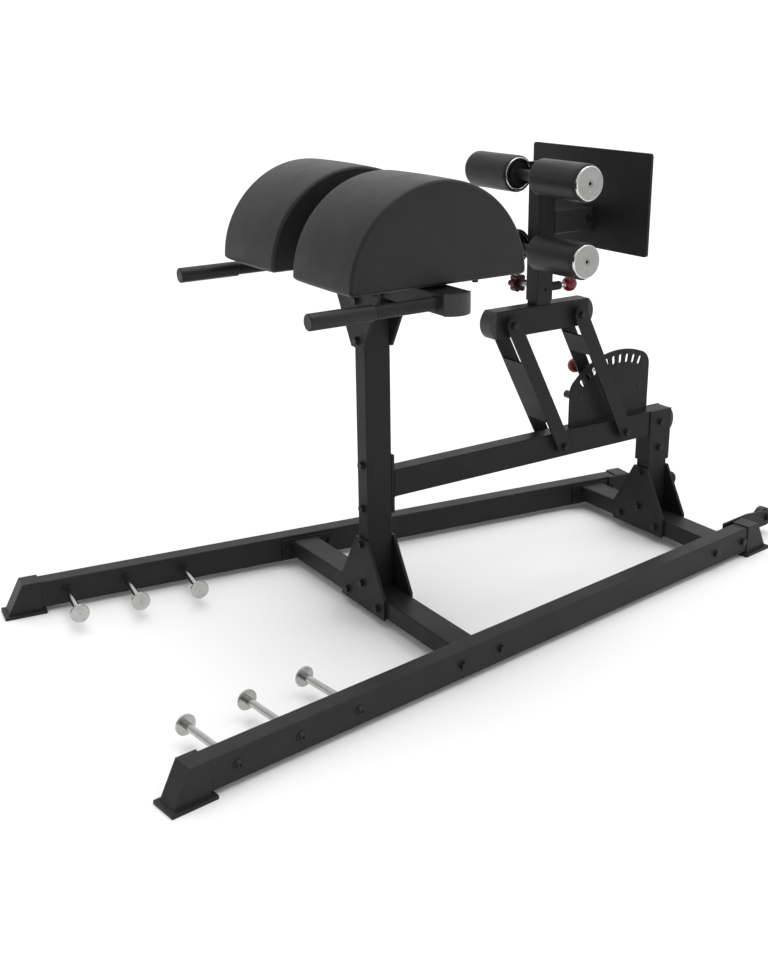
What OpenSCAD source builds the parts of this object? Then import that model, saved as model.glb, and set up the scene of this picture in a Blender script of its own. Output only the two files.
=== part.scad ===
// Glute ham developer: a splayed base on four feet, two D-shaped torso pads on a
// tall upright, and a swinging parallelogram whose carriage holds the ankle
// rollers and the foot plate. Millimetres and degrees. +Z is up, +X points to
// the foot plate, and the origin is on the floor in the middle of the base.

/* [Tube] */
// Wide side of the frame tubes
tube_deep = 75; // [70:1:80]
// Narrow side of the frame tubes
tube_slim = 50; // [46:1:54]
// Wall of the frame tubes
tube_wall = 3; // [2:0.5:4]
// Outer corner radius of the frame tubes
tube_corner = 4; // [3:0.5:6]

/* [Base] */
// Distance between the centres of the two crossbeams
beam_spacing = 995; // [940:5:1060]
// Angle of each rail to the long axis
rail_splay = 7.6; // [6:0.1:9]
// Distance from the middle plane to a rail's centre line at the front crossbeam
rail_offset = 426; // [400:1:450]
// Height of the rails' underside above the floor
rail_clearance = 13; // [12:1:30]
// Length of rail from the front crossbeam's centre to the front foot
front_reach = 762; // [700:1:820]
// Length of rail from the rear crossbeam's centre to the rear foot
rear_reach = 101; // [99:1:130]
// Thickness of the plates on the crossbeams' ends
end_plate_t = 8; // [6:1:10]
// Distance that an end plate stands out above and below its crossbeam
end_plate_lip = 5; // [3:0.5:8]
// Half the distance between the two bolts of an end plate
end_bolt_half = 65; // [58:1:70]
// Distance from a plate's bolt to its nearest edge
bolt_edge = 17; // [15:1:20]
// Shift of an end plate along its rail, rearwards from the crossbeam's centre
end_plate_shift = 12; // [8:1:14]

/* [Feet] */
// Wall of a foot's sleeve round its rail
foot_wall = 3; // [2:0.5:5]
// Length of a foot's flat top
foot_top_len = 48; // [44:1:60]
// Length of a foot's sleeve at the base plate
foot_base_len = 92; // [84:1:110]
// Thickness of a foot's base plate
foot_plate_t = 8; // [6:1:10]
// Lip of the base plate round the sleeve
foot_lip = 10; // [6:1:14]

/* [Band pegs] */
// Diameter of a peg's rod
peg_rod_d = 18; // [14:1:24]
// Diameter of the disc on a peg's end
peg_disc_d = 51; // [40:1:60]
// Thickness of the disc
peg_disc_t = 6; // [4:1:8]
// Length of a peg from the rail to the disc's outer face
peg_len = 162; // [120:1:200]
// Distance along the rail from the front crossbeam to the nearest peg
peg_first = 366; // [340:1:400]
// Distance along the rail between pegs
peg_pitch = 163; // [140:1:170]

/* [Transport wheels] */
// Diameter of a wheel
wheel_d = 58; // [50:1:66]
// Width of a wheel's tread
wheel_w = 24; // [24:1:34]
// Height of the wheels' axle above the floor
wheel_z = 54; // [48:1:60]
// Distance along the rail from the rear crossbeam's centre to the axle
wheel_reach = 290; // [282:1:310]
// Thickness of a wheel bracket's plate
bracket_t = 6; // [4:1:8]
// Height of the wheel bracket's upper edge above the floor
bracket_top = 92; // [88:1:96]
// Height of the wheel bracket's lower edge above the floor
bracket_low = 36; // [30:1:40]
// Distance along the rail that the bracket's upper edge stays level
bracket_flat = 184; // [170:1:200]
// Width of the spacer between the bracket and the foot
spacer_w = 26; // [20:1:30]

/* [Uprights and boom] */
// Height of the top tube's upper face
cross_top = 928; // [880:1:960]
// Length of the top tube without its end caps
cross_len = 724; // [700:2:760]
// Height of the boom's centre
boom_z = 363; // [350:1:380]
// Distance of the boom's two front bolts from its centre line
boom_bolt_half = 60; // [52:1:70]
// Thickness of the base, top and boom plates
gusset_t = 8; // [6:1:10]
// Width of a base gusset
gusset_w = 214; // [200:2:240]
// Height of a base gusset's top above the floor
gusset_top = 220; // [210:1:240]
// Distance from the middle plane to the lower outer gusset bolts
gusset_bolt_y = 75; // [70:1:85]
// Height between a base gusset's two upper bolts
gusset_bolt_rise = 112; // [100:1:120]
// Width of the top gussets at the top tube
top_gusset_w = 232; // [210:2:250]
// Length of the top gussets below the top tube
top_gusset_drop = 143; // [130:1:160]
// Wall of the saddle that holds the boom's rear end
saddle_wall = 4.5; // [3:0.5:6]
// Length of the saddle below the boom
saddle_drop = 85; // [70:1:100]
// Bulge of the arched end caps
cap_bulge = 18; // [12:1:24]

/* [Handles] */
// Diameter of the handle rods
handle_d = 32; // [28:1:36]
// Distance of the handles from the middle plane
handle_y = 330; // [322:1:338]
// Length from the top tube's face to the grip's end
handle_len = 328.5; // [280:0.5:360]
// Length of a grip
grip_len = 162; // [120:1:180]
// Wall of a grip
grip_wall = 3; // [2:0.5:5]

/* [Torso pads] */
// Length of a pad, front to rear
pad_len = 473; // [440:1:490]
// Height of a pad
pad_h = 229; // [200:1:245]
// Width of a pad
pad_w = 272; // [240:1:276]
// Gap between the two pads
pad_gap = 88.8; // [70:0.1:110]
// Place of the pads' middle behind the main upright's centre
pad_shift = -8; // [-15:1:0]
// Rounding of a pad's edges
pad_edge = 9; // [6:1:14]
// Crown of a pad's top and sides
pad_crown = 3; // [1:0.5:5]
// Thickness of the plate under a pad
pad_plate_t = 8; // [6:1:8]
// Thickness of a pad's base board
board_t = 12; // [9:1:15]
// Distance that the board stands out below the pad
board_show = 6; // [4:1:8]
// Length of the plate under a pad
pad_plate_len = 310; // [280:2:320]
// Width of the plate under a pad
pad_plate_w = 164; // [150:2:176]
// Distance from a pad plate's edge to its bolts along the pad
pad_bolt_edge = 15; // [12:1:20]
// Distance that a pad's board stands out past the plate
board_margin = 10; // [6:1:16]
// Diameter of the pad bolts
pad_bolt_d = 8; // [6:1:10]

/* [Linkage] */
// Length of a link between its pivots
link_len = 420; // [400:1:440]
// Distance between the two links' pivots
link_spacing = 234; // [228:1:246]
// Distance from the front crossbeam's centre to the front link's lower pivot
link_x = 607.5; // [595:0.5:615]
// Lean of the links towards the pads, from upright, at rest
link_lean = 27; // [24:0.5:28]
// Width of a link plate
link_w = 43; // [40:1:46]
// Thickness of a link plate
link_t = 6; // [5:0.5:7]
// Diameter of the pivot bolts
pivot_d = 16; // [14:1:18]
// Distance that the link plates stand off the tubes between them
link_stand = 15; // [12:0.5:18]
// Diameter of the pivot bosses across the tubes
boss_d = 30; // [26:1:32]
// Thickness of the web between a link's plates
web_t = 6; // [4:0.5:8]
// Where the front link's web starts, measured from the lower pivot
front_web_low = 103; // [95:1:120]
// Length of the front link's web
front_web_len = 204; // [180:1:230]
// Where the rear link's web starts, measured from the lower pivot
rear_web_low = 295; // [285:1:310]
// Length of the rear link's web
rear_web_len = 63; // [50:1:63]

/* [Index plate] */
// Radius of the index plate about the rear link's lower pivot
index_r = 238.5; // [234:0.5:243]
// Radius of the ring of slots
slot_r = 211.5; // [208:0.5:214]
// Number of slots
slot_count = 10; // [6:1:10]
// Angle between slots
slot_step = 6.9; // [6.7:0.1:7.1]
// Width of a slot
slot_w = 12.5; // [12.3:0.1:14]
// Length of a slot
slot_len = 27; // [22:1:30]
// Thickness of the index plate
index_t = 6; // [5:0.5:7]
// Number of slots ahead of the rest slot
slots_ahead = 2; // [1:1:2]
// Distance from the rear link's lower pivot to the plate's front edge
index_front = 183.5; // [179:0.5:188]
// Distance from the rear link's lower pivot to the plate's rear edge
index_rear = 116; // [114:1:127]
// Rounding of the index plate's shoulders
shoulder_r = 45; // [40:1:50]
// Distance from the rear link's lower pivot to the front stop
stop_front_r = 187; // [184:1:190]
// Distance from the rear link's lower pivot to the rear stop
stop_rear_r = 144.5; // [141:0.5:148]
// Diameter of the rubber stops
stop_d = 22; // [20:0.5:23]
// Length of the rubber stops
stop_len = 55; // [45:1:60]

/* [Carriage] */
// Length of carriage tube ahead of the front pivot
carriage_front = 44.5; // [42:0.5:60]
// Length of carriage tube behind the rear pivot
carriage_rear = 40.5; // [36:0.5:46]
// Distance from the front upper pivot to the post's centre
post_x = 118.5; // [112:0.5:130]
// Depth of the roller post's sleeve, front to rear
sleeve_deep = 54; // [50:1:58]
// Width of the roller post's sleeve
sleeve_wide = 48; // [44:1:50]
// Wall of the sleeve
sleeve_wall = 2.5; // [2:0.5:3]
// Length of the sleeve
sleeve_len = 366; // [355:1:380]
// Length of the inner post above the carriage tube
post_len = 340; // [300:1:346]
// Clearance between the inner post and the sleeve
post_fit = 0.4; // [0.3:0.05:0.5]
// Gap under the sleeve in its lowest place
sleeve_gap = 10; // [6:1:14]
// Distance between the height holes
hole_pitch = 25; // [20:1:30]

/* [Rollers] */
// Diameter of the ankle rollers
roller_d = 96; // [84:1:104]
// Distance between the upper and lower axles
axle_spacing = 192.5; // [180:0.5:200]
// Height of the lower axle above the sleeve's lower end
axle_low = 140; // [134:1:150]
// Diameter of the axles
axle_d = 28; // [24:1:32]
// Distance from the middle plane to a roller's inner end
roller_in = 46; // [40:1:52]
// Distance from the middle plane to a roller's outer end
roller_out = 233.5; // [210:0.5:250]
// Diameter of a roller's inner ring
ring_d = 56; // [50:1:64]
// Thickness of a roller's inner ring
ring_t = 5; // [4:0.5:7]
// Thickness of a roller's outer cap
roller_cap_t = 6; // [5.5:0.5:9]

/* [Foot plate] */
// Width of the foot plate
foot_plate_wide = 468; // [420:1:500]
// Height of the foot plate
foot_plate_high = 262; // [230:1:270]
// Thickness of the foot plate
foot_plate_thick = 8; // [5:1:10]
// Distance from the sleeve's rear face to the foot plate's front face
foot_plate_gap = 131.5; // [120:0.5:150]
// Height of the foot plate's lower edge above the sleeve's lower end
foot_plate_low = 129.5; // [120:0.5:150]
// Width of the foot plate's arm
arm_wide = 50; // [44:1:56]
// Height of the foot plate's arm
arm_high = 61; // [54:1:66]
// Height of the arm's middle above the sleeve's lower end
arm_rise = 207.5; // [195:0.5:220]
// Length of the foot plate's stub inside the arm
stub_len = 55; // [45:1:70]
// Distance from the foot plate to the arm's cross bolt
arm_bolt_back = 18; // [15:1:25]
// Diameter of the arm's cross bolt
arm_bolt_d = 10; // [8:1:12]

/* [Pins and knobs] */
// Diameter of the spring pins
pin_d = 14; // [13:0.5:14.5]
// Diameter of a spring pin's tip at the index plate
pin_tip_d = 11.7; // [10.5:0.1:11.9]
// Diameter of the spring pins' housings
housing_d = 24; // [20:1:28]
// Diameter of the ball knobs
ball_d = 42; // [36:1:46]
// Diameter of the star knob
star_d = 50; // [44:1:56]
// Thickness of the star knob
star_t = 24; // [18:1:28]
// Diameter of the frame bolts
bolt_d = 12; // [10:1:13]
// Height of the spring pin on the post above the sleeve's lower end
height_pin_rise = 32; // [28:1:36]
// Travel of the spring pin on the post
height_pin_travel = 12; // [10:0.5:13]
// Length of the spring pin's housing outside the rear link
link_housing_len = 9; // [7:1:14]
// Length of the spring pin's housing inside the rear link
link_housing_in = 24; // [20:1:28]
// Length of the spring pin's housing on the post
height_housing_len = 42.5; // [40:0.5:52]
// Distance from the middle plane to the star knob's inner face
star_y = 82; // [76:1:90]

/* [Hidden] */
$fn = 48;
// Clearances: sliding seats, bolts in their holes, pivots, and faces that pass
seat = 0.25;
bolt_gap = 0.5;
run = 0.05;
snug = 0.02;
pass = 0.35;
huge = 2000;

// Heights
rail_z = rail_clearance + tube_deep / 2;
beam_top = rail_z + tube_slim / 2;
cross_z = cross_top - tube_slim / 2;
cross_under = cross_top - tube_slim;
boom_top = boom_z + tube_deep / 2;
boom_under = boom_z - tube_deep / 2;
plate_top = cross_top + pad_plate_t;
pad_z = plate_top + board_show;

// Places along a rail, measured from the front crossbeam
rail_u_rear = beam_spacing / cos(rail_splay);
rail_inner = -tube_slim / 2;
rail_socket = 30;
u_shift = tube_slim / 2 * tan(rail_splay) + end_plate_shift;
foot_w = tube_slim + 2 * foot_wall;
wheel_u = rail_u_rear + wheel_reach;
ear_v = rail_inner - end_plate_t - bracket_t;
ear_gap = wheel_w + 4;
wheel_v = ear_v - ear_gap / 2;
ear_r = wheel_d / 2 - 4;

// Places along the whole part, with the middle of its length at x = 0
function rail_x(u, v) = u * cos(rail_splay) + v * sin(rail_splay);
nose_x = rail_x(-(front_reach + foot_base_len + foot_lip), -(foot_w / 2 + foot_lip));
tail_x = rail_x(wheel_u, wheel_v) + wheel_d / 2 * cos(rail_splay) + wheel_w / 2 * sin(rail_splay);
x_front = -(nose_x + tail_x) / 2;
x_rear = x_front + beam_spacing;
x_link = x_front + link_x;
x_index = x_link + link_spacing;
x_carriage = x_link - link_len * sin(link_lean);
z_carriage = boom_z + link_len * cos(link_lean);
carriage_top = z_carriage + tube_deep / 2;
x_post = x_carriage + post_x;
sleeve_z = carriage_top + sleeve_gap;
sleeve_front = x_post - sleeve_deep / 2;
sleeve_rear = x_post + sleeve_deep / 2;
x_axle = sleeve_front - axle_d / 2 - 0.4;
z_low_axle = sleeve_z + axle_low;
z_high_axle = z_low_axle + axle_spacing;
x_plate = sleeve_rear + foot_plate_gap;
z_plate = sleeve_z + foot_plate_low + foot_plate_high / 2;
z_arm = sleeve_z + arm_rise;

// Fasteners
bolt_r = bolt_d / 2;
hex_r = bolt_r * 1.75;
hex_h = bolt_r * 1.2;
washer_r = bolt_r * 2;
washer_t = 2;
thread_out = 3;

// Links
link_y = tube_slim / 2 + link_stand;
link_out = link_y + link_t;
pivot_r = pivot_d / 2;
boss_r = boss_d / 2;
boss_reach = link_y - pass;
front_web = [front_web_low, front_web_low + front_web_len];
rear_web = [rear_web_low, rear_web_low + rear_web_len];

// Spring pins and knobs
pin_r = pin_d / 2;
housing_r = housing_d / 2;
ball_r = ball_d / 2;
link_pin_travel = index_t + 0.6;
height_pin_z = sleeve_z + height_pin_rise;
index_y = -index_t / 2;
ball_web = 4;

// Stops: each meets the rear link just past the last slot on its side
stop_gap = 1.5;
lean_ahead = link_lean + slots_ahead * slot_step;
lean_back = link_lean - (slot_count - 1 - slots_ahead) * slot_step;
stop_meets = link_w / 2 + stop_d / 2 + stop_gap;
stop_front_a = lean_ahead + asin(stop_meets / stop_front_r);
stop_rear_a = lean_back - asin(stop_meets / stop_rear_r);
stop_front = stop_front_r * [-sin(stop_front_a), cos(stop_front_a)];
stop_rear = stop_rear_r * [-sin(stop_rear_a), cos(stop_rear_a)];
stop_bolt_r = 5;

BLACK = "#2e2e30";
FOAM = "#242426";
VINYL = "#29292b";
STEEL = "#c9cacc";
ALLOY = "#d5d5d6";
RED = "#8c1620";
ZINC = "#45464a";

// Flat shapes

module round_rect(a, b, r) {
    square([a - 2 * r, b], center = true);
    square([a, b - 2 * r], center = true);
    for (sx = [-1, 1], sy = [-1, 1])
        translate([sx * (a / 2 - r), sy * (b / 2 - r)]) circle(r);
}

module tube_profile(a, b, wall, corner) {
    difference() {
        round_rect(a, b, corner);
        round_rect(a - 2 * wall, b - 2 * wall, max(corner - wall, 0.8));
    }
}

// Bodies drawn from a flat shape: its first axis, its second axis, its length

module yz_along_x(length) {
    rotate([90, 0, 90]) linear_extrude(length) children();
}

module xz_along_y(length) {
    rotate([90, 0, 0]) linear_extrude(length, center = true) children();
}

module box(x, y, z) {
    translate([x[0], y[0], z[0]]) cube([x[1] - x[0], y[1] - y[0], z[1] - z[0]]);
}

module rod_x(r, x) {
    translate([x[0], 0, 0]) rotate([0, 90, 0]) cylinder(r = r, h = x[1] - x[0]);
}

module rod_y(r, y) {
    translate([0, y[0], 0]) rotate([-90, 0, 0]) cylinder(r = r, h = y[1] - y[0]);
}

// An arched cap for a tube's end: chord a, width b, standing out along +X
module arched_cap(a, b) {
    arc_r = (a * a / 4 + cap_bulge * cap_bulge) / (2 * cap_bulge);
    intersection() {
        translate([cap_bulge - arc_r, 0, 0]) rotate([90, 0, 0])
            cylinder(r = arc_r, h = b, center = true, $fn = 96);
        box([0, cap_bulge + 1], [-b, b], [-a / 2, a / 2]);
    }
}

// A bolt with washers, head and nut that clamps a stack from x = 0 to x = grip
module frame_bolt(grip) {
    rod_x(bolt_r, [-washer_t, grip + washer_t + hex_h + thread_out]);
    rod_x(washer_r, [-washer_t, 0]);
    rod_x(washer_r, [grip, grip + washer_t]);
    translate([-washer_t - hex_h, 0, 0]) rotate([0, 90, 0])
        cylinder(r = hex_r, h = hex_h, $fn = 6);
    translate([grip + washer_t, 0, 0]) rotate([0, 90, 0])
        cylinder(r = hex_r, h = hex_h, $fn = 6);
}

module bolt_hole_x(x, y, z) {
    translate([0, y, z]) rod_x(bolt_r + bolt_gap, [x[0] - 1, x[1] + 1]);
}

// The frame of one rail: x along it from the front crossbeam, y outwards
module at_rail(side) {
    mirror([0, side < 0 ? 1 : 0, 0]) translate([x_front, rail_offset, 0])
        rotate([0, 0, -rail_splay]) children();
}

// Base

module rail_bolt_places() {
    for (u = [0, rail_u_rear], s = [-1, 1])
        translate([u + u_shift + s * end_bolt_half, 0, rail_z]) children();
}

module peg_places() {
    for (i = [0:2]) translate([-(peg_first + i * peg_pitch), 0, rail_z]) children();
}

module rail(side) {
    start = -(front_reach + rail_socket);
    finish = rail_u_rear + rear_reach + rail_socket;
    color(BLACK) at_rail(side) difference() {
        translate([start, 0, rail_z]) yz_along_x(finish - start)
            tube_profile(tube_slim, tube_deep, tube_wall, tube_corner);
        rail_bolt_places() rod_y(bolt_r + bolt_gap, [-tube_slim, tube_slim]);
        peg_places() rod_y(bolt_r + bolt_gap, [-tube_slim, tube_slim]);
    }
}

// One foot, its rail entering at x = 0 from behind and its tip towards +X
module foot() {
    top = rail_clearance + tube_deep + foot_wall;
    difference() {
        union() {
            xz_along_y(foot_w) polygon([[0, foot_plate_t / 2], [foot_base_len, foot_plate_t / 2],
                [foot_base_len, foot_plate_t], [foot_top_len, top], [0, top]]);
            translate([(foot_base_len + foot_lip) / 2 - foot_lip / 2, 0, 0])
                linear_extrude(foot_plate_t)
                round_rect(foot_base_len + 2 * foot_lip, foot_w + 2 * foot_lip, 2);
        }
        box([-1 - foot_lip, rail_socket + 1], [-tube_slim / 2 - seat, tube_slim / 2 + seat],
            [rail_clearance - seat, rail_clearance + tube_deep + seat]);
    }
}

module front_feet() {
    color(BLACK) for (side = [-1, 1])
        at_rail(side) translate([-front_reach, 0, 0]) mirror([1, 0, 0]) foot();
}

module rear_feet() {
    color(BLACK) for (side = [-1, 1])
        at_rail(side) translate([rail_u_rear + rear_reach, 0, 0]) foot();
}

module crossbeam(x, u) {
    plate_half = end_bolt_half + bolt_edge;
    plate_v = rail_inner - end_plate_t;
    color(BLACK) difference() {
        union() {
            difference() {
                translate([x, 0, rail_z]) xz_along_y(2 * rail_offset + tube_deep)
                    tube_profile(tube_deep, tube_slim, tube_wall, tube_corner);
                for (side = [-1, 1])
                    at_rail(side) box([-huge, huge], [plate_v + 1, huge], [0, huge]);
            }
            for (side = [-1, 1])
                at_rail(side) translate([u + u_shift, 0, 0])
                    box([-plate_half, plate_half], [plate_v, rail_inner],
                        [rail_z - tube_slim / 2 - end_plate_lip, rail_z + tube_slim / 2 + end_plate_lip]);
        }
        for (side = [-1, 1])
            at_rail(side) rail_bolt_places() rod_y(bolt_r + bolt_gap, [-tube_deep, 0]);
        for (s = [-1, 1])
            bolt_hole_x([x - tube_deep, x + tube_deep], s * gusset_bolt_y, low_bolt_z);
    }
}

module front_crossbeam() {
    crossbeam(x_front, 0);
}

module rear_crossbeam() {
    crossbeam(x_rear, rail_u_rear);
}

module rail_bolts() {
    stack = tube_slim + end_plate_t;
    color(ZINC) for (side = [-1, 1], u = [0, rail_u_rear], s = [-1, 1]) {
        extra = (u > 0 && s > 0) ? bracket_t : 0;
        at_rail(side) translate([u + u_shift + s * end_bolt_half, tube_slim / 2, rail_z])
            rotate([0, 0, -90]) frame_bolt(stack + extra);
    }
}

// Uprights and gussets

low_bolt_z = rail_z - 2.5;
neck = tube_slim / 2 + 2;
gusset_low = rail_z - tube_slim / 2 - 2.5;
gusset_shoulder = beam_top + 5.5;
gusset_points = [[-gusset_w / 2, gusset_low], [gusset_w / 2, gusset_low],
    [gusset_w / 2, gusset_shoulder], [neck, gusset_top], [-neck, gusset_top],
    [-gusset_w / 2, gusset_shoulder]];
upper_bolt_z = gusset_top - bolt_edge + 2;
base_bolts = [[0, upper_bolt_z], [0, upper_bolt_z - gusset_bolt_rise],
    [-gusset_bolt_y, low_bolt_z], [gusset_bolt_y, low_bolt_z]];
top_bolts = [[0, cross_under - top_gusset_drop + bolt_edge + 1], [0, cross_under - tube_slim / 2 + 1],
    [-gusset_bolt_y, cross_z], [gusset_bolt_y, cross_z]];
boom_bolt_z = [boom_z - boom_bolt_half, boom_z + boom_bolt_half];

module upright(x, top, bolts) {
    color(BLACK) difference() {
        translate([x, 0, beam_top]) linear_extrude(top - beam_top)
            tube_profile(tube_deep, tube_slim, tube_wall, tube_corner);
        for (b = bolts) bolt_hole_x([x - tube_deep, x + tube_deep], b[0], b[1]);
    }
}

module main_upright() {
    upright(x_front, cross_under, concat([base_bolts[0], base_bolts[1], top_bolts[0], top_bolts[1]],
        [for (z = boom_bolt_z) [0, z]]));
}

module rear_upright() {
    difference() {
        upright(x_rear, boom_under, [base_bolts[0], base_bolts[1]]);
        translate([x_rear, 0, boom_under - saddle_drop / 2])
            rod_y(bolt_r + bolt_gap, [-tube_deep, tube_deep]);
    }
}

module gusset_pair(x, points, bolts) {
    color(BLACK) for (face = [-1, 1])
        translate([x + face * (tube_deep + gusset_t) / 2, 0, 0]) difference() {
            translate([-gusset_t / 2, 0, 0]) yz_along_x(gusset_t) polygon(points);
            for (b = bolts) bolt_hole_x([-gusset_t, gusset_t], b[0], b[1]);
        }
}

module base_gussets() {
    for (x = [x_front, x_rear]) gusset_pair(x, gusset_points, base_bolts);
}

module top_gussets() {
    low = cross_under - top_gusset_drop;
    wide = top_gusset_w / 2;
    flare = cross_z - 1;
    gusset_pair(x_front, [[-neck, low], [neck, low], [wide, flare], [wide, cross_top - 5],
        [-wide, cross_top - 5], [-wide, flare]], top_bolts);
}

module gusset_bolts() {
    reach = tube_deep / 2 + gusset_t;
    color(ZINC) for (x = [x_front, x_rear], b = base_bolts)
        translate([x - reach, b[0], b[1]]) frame_bolt(2 * reach);
    color(ZINC) for (b = top_bolts)
        translate([x_front - reach, b[0], b[1]]) frame_bolt(2 * reach);
}

// Boom

boom_x = [x_front + tube_deep / 2 + gusset_t, x_rear + tube_deep / 2];

module boom() {
    plate_half = boom_bolt_half + bolt_edge + 3;
    color(BLACK) difference() {
        union() {
            translate([boom_x[0], 0, boom_z]) yz_along_x(boom_x[1] - boom_x[0])
                tube_profile(tube_slim, tube_deep, tube_wall, tube_corner);
            translate([boom_x[0] - gusset_t, 0, boom_z]) yz_along_x(gusset_t)
                square([tube_slim, 2 * plate_half], center = true);
            for (x = [x_link, x_index]) translate([x, 0, boom_z])
                rod_y(boss_r, [-boss_reach, boss_reach]);
        }
        for (z = boom_bolt_z) bolt_hole_x([boom_x[0] - gusset_t, boom_x[0]], 0, z);
        for (x = [x_link, x_index]) translate([x, 0, boom_z])
            rod_y(pivot_r + run, [-tube_deep, tube_deep]);
        translate([x_rear, 0, boom_z]) rod_y(bolt_r + bolt_gap, [-tube_deep, tube_deep]);
    }
}

// Two cheeks beside the boom's rear end and a socket below it for the rear upright
module boom_saddle() {
    half_x = tube_deep / 2 + saddle_wall + seat;
    half_y = tube_slim / 2 + saddle_wall;
    low = boom_under - saddle_drop;
    color(BLACK) difference() {
        translate([x_rear, 0, low]) linear_extrude(boom_top - low)
            round_rect(2 * half_x, 2 * half_y, 3);
        box([x_rear - tube_deep / 2 - seat, x_rear + tube_deep / 2 + seat],
            [-tube_slim / 2, tube_slim / 2], [low - 1, boom_under + 1]);
        box([x_rear - huge, x_rear + huge], [-tube_slim / 2, tube_slim / 2],
            [boom_under, boom_top + 1]);
        for (z = [boom_z, boom_under - saddle_drop / 2]) translate([x_rear, 0, z])
            rod_y(bolt_r + bolt_gap, [-tube_deep, tube_deep]);
    }
}

module boom_bolts() {
    half_y = tube_slim / 2 + saddle_wall;
    color(ZINC) for (z = boom_bolt_z)
        translate([x_front - tube_deep / 2, 0, z]) frame_bolt(tube_deep + gusset_t);
    color(ZINC) for (z = [boom_z, boom_under - saddle_drop / 2])
        translate([x_rear, -half_y, z]) rotate([0, 0, 90]) frame_bolt(2 * half_y);
}

// Top tube, handles and pads

module cross_tube() {
    color(BLACK) difference() {
        translate([x_front, 0, cross_z]) xz_along_y(cross_len)
            tube_profile(tube_deep, tube_slim, tube_wall, tube_corner);
        for (b = [top_bolts[2], top_bolts[3]])
            bolt_hole_x([x_front - tube_deep, x_front + tube_deep], b[0], b[1]);
    }
}

module tube_end_caps() {
    color(BLACK) for (side = [-1, 1])
        translate([x_front, side * cross_len / 2, cross_z]) rotate([90, 0, 90 * side])
            arched_cap(tube_deep, tube_slim);
    color(BLACK) translate([boom_x[1] + seat, 0, boom_z]) arched_cap(tube_deep, tube_slim);
}

handle_root = x_front - tube_deep / 2;
handle_tip = handle_root - handle_len;

module handle_rods() {
    color(BLACK) for (side = [-1, 1]) translate([0, side * handle_y, cross_z])
        rod_x(handle_d / 2, [handle_tip + grip_wall, handle_root]);
}

module handle_grips() {
    r = handle_d / 2 + grip_wall;
    color(FOAM) for (side = [-1, 1])
        translate([handle_tip, side * handle_y, cross_z]) rotate([0, 90, 0])
            rotate_extrude() difference() {
                union() {
                    translate([0, 2]) square([r, grip_len - 2]);
                    square([r - 2, 3]);
                    translate([r - 2, 2]) circle(2);
                }
                translate([0, grip_wall]) square([handle_d / 2, grip_len]);
                translate([-5, -5]) square([5, grip_len + 10]);
            }
}

pad_x = x_front + pad_shift;
pad_y = (pad_gap + pad_w) / 2;
plate_half = [pad_plate_len / 2, pad_plate_w / 2];
pad_bolt_half = [plate_half[0] - pad_bolt_edge, plate_half[1] - pad_bolt_edge + 3];
board_half = [plate_half[0] + board_margin, plate_half[1] + board_margin + 6];
pad_bolt_r = pad_bolt_d / 2;

module pad_plates() {
    color(BLACK) for (side = [-1, 1]) difference() {
        translate([pad_x, side * pad_y, cross_top]) linear_extrude(pad_plate_t)
            round_rect(2 * plate_half[0], 2 * plate_half[1], 10);
        pad_bolt_places(side) translate([0, 0, cross_top - 1])
            cylinder(r = pad_bolt_r + bolt_gap, h = pad_plate_t + 2);
    }
}

module pad_bolt_places(side) {
    for (sx = [-1, 1], sy = [-1, 1])
        translate([pad_x + sx * pad_bolt_half[0], side * pad_y + sy * pad_bolt_half[1], 0])
            children();
}

module pad_boards() {
    color("#b08d5c") for (side = [-1, 1]) difference() {
        translate([pad_x, side * pad_y, plate_top]) linear_extrude(board_t)
            round_rect(2 * board_half[0], 2 * board_half[1], 12);
        pad_bolt_places(side) translate([0, 0, plate_top - 1])
            cylinder(r = pad_bolt_r + run, h = board_t);
    }
}

module pad_bolts() {
    color(ZINC) for (side = [-1, 1]) pad_bolt_places(side) {
        translate([0, 0, cross_top - 1.6]) cylinder(r = pad_bolt_r * 2.5, h = 1.6);
        translate([0, 0, cross_top - 8.6]) cylinder(r = pad_bolt_r * 2, h = 7, $fn = 6);
        translate([0, 0, cross_top - 3]) cylinder(r = pad_bolt_r, h = pad_plate_t + board_t);
    }
}

// A pad's outline seen from the side: half an ellipse over a flat base. Each
// point is [x, z] from the middle of the base.
pad_corner = 10;
function pad_arch(a) = [pad_len / 2 * cos(a), pad_h * sin(a)];
function pad_turn(s, a) = [s * (pad_len / 2 - pad_corner + pad_corner * cos(a)),
    pad_corner - pad_corner * sin(a)];
pad_outline = concat(
    [for (i = [0:25]) pad_arch(4 + i * 172 / 25)],
    [for (a = [15:25:90]) pad_turn(-1, a)],
    [for (i = [1:6]) [(pad_len / 2 - pad_corner) * (i / 3.5 - 1), 0]],
    [for (a = [90:-25:15]) pad_turn(1, a)]);
pad_n = len(pad_outline);
pad_mid = [0, pad_h * 0.42];

function unit(v) = v / norm(v);
function pad_out(j) = let (d = pad_outline[(j + 1) % pad_n] - pad_outline[(j + pad_n - 1) % pad_n])
    unit([d[1], -d[0]]);

// One ring of a pad: the outline moved in by d, drawn towards the middle by s
function pad_ring(d, s, y) = [for (j = [0:pad_n - 1])
    let (p = pad_mid + s * (pad_outline[j] - d * pad_out(j) - pad_mid)) [p[0], y, max(p[1], 0)]];

// Rings from one side of a pad, over its rim, to the other side
function pad_side_rings(side) = [
    for (s = [0.35, 0.75]) pad_ring(pad_edge, s, side * (pad_w / 2 - pad_crown * s * s)),
    for (a = [0, 35, 65]) pad_ring(pad_edge * (1 - sin(a)), 1,
        side * (pad_w / 2 - pad_crown - pad_edge * (1 - cos(a))))];
pad_rim = pad_w / 2 - pad_crown - pad_edge;
function pad_rim_rings() = [for (i = [-3:3])
    pad_ring(pad_crown * (pow(i / 3, 2) - 1) * 0.6, 1, i / 3 * pad_rim)];

function reversed(v) = [for (i = [len(v) - 1:-1:0]) v[i]];

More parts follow.
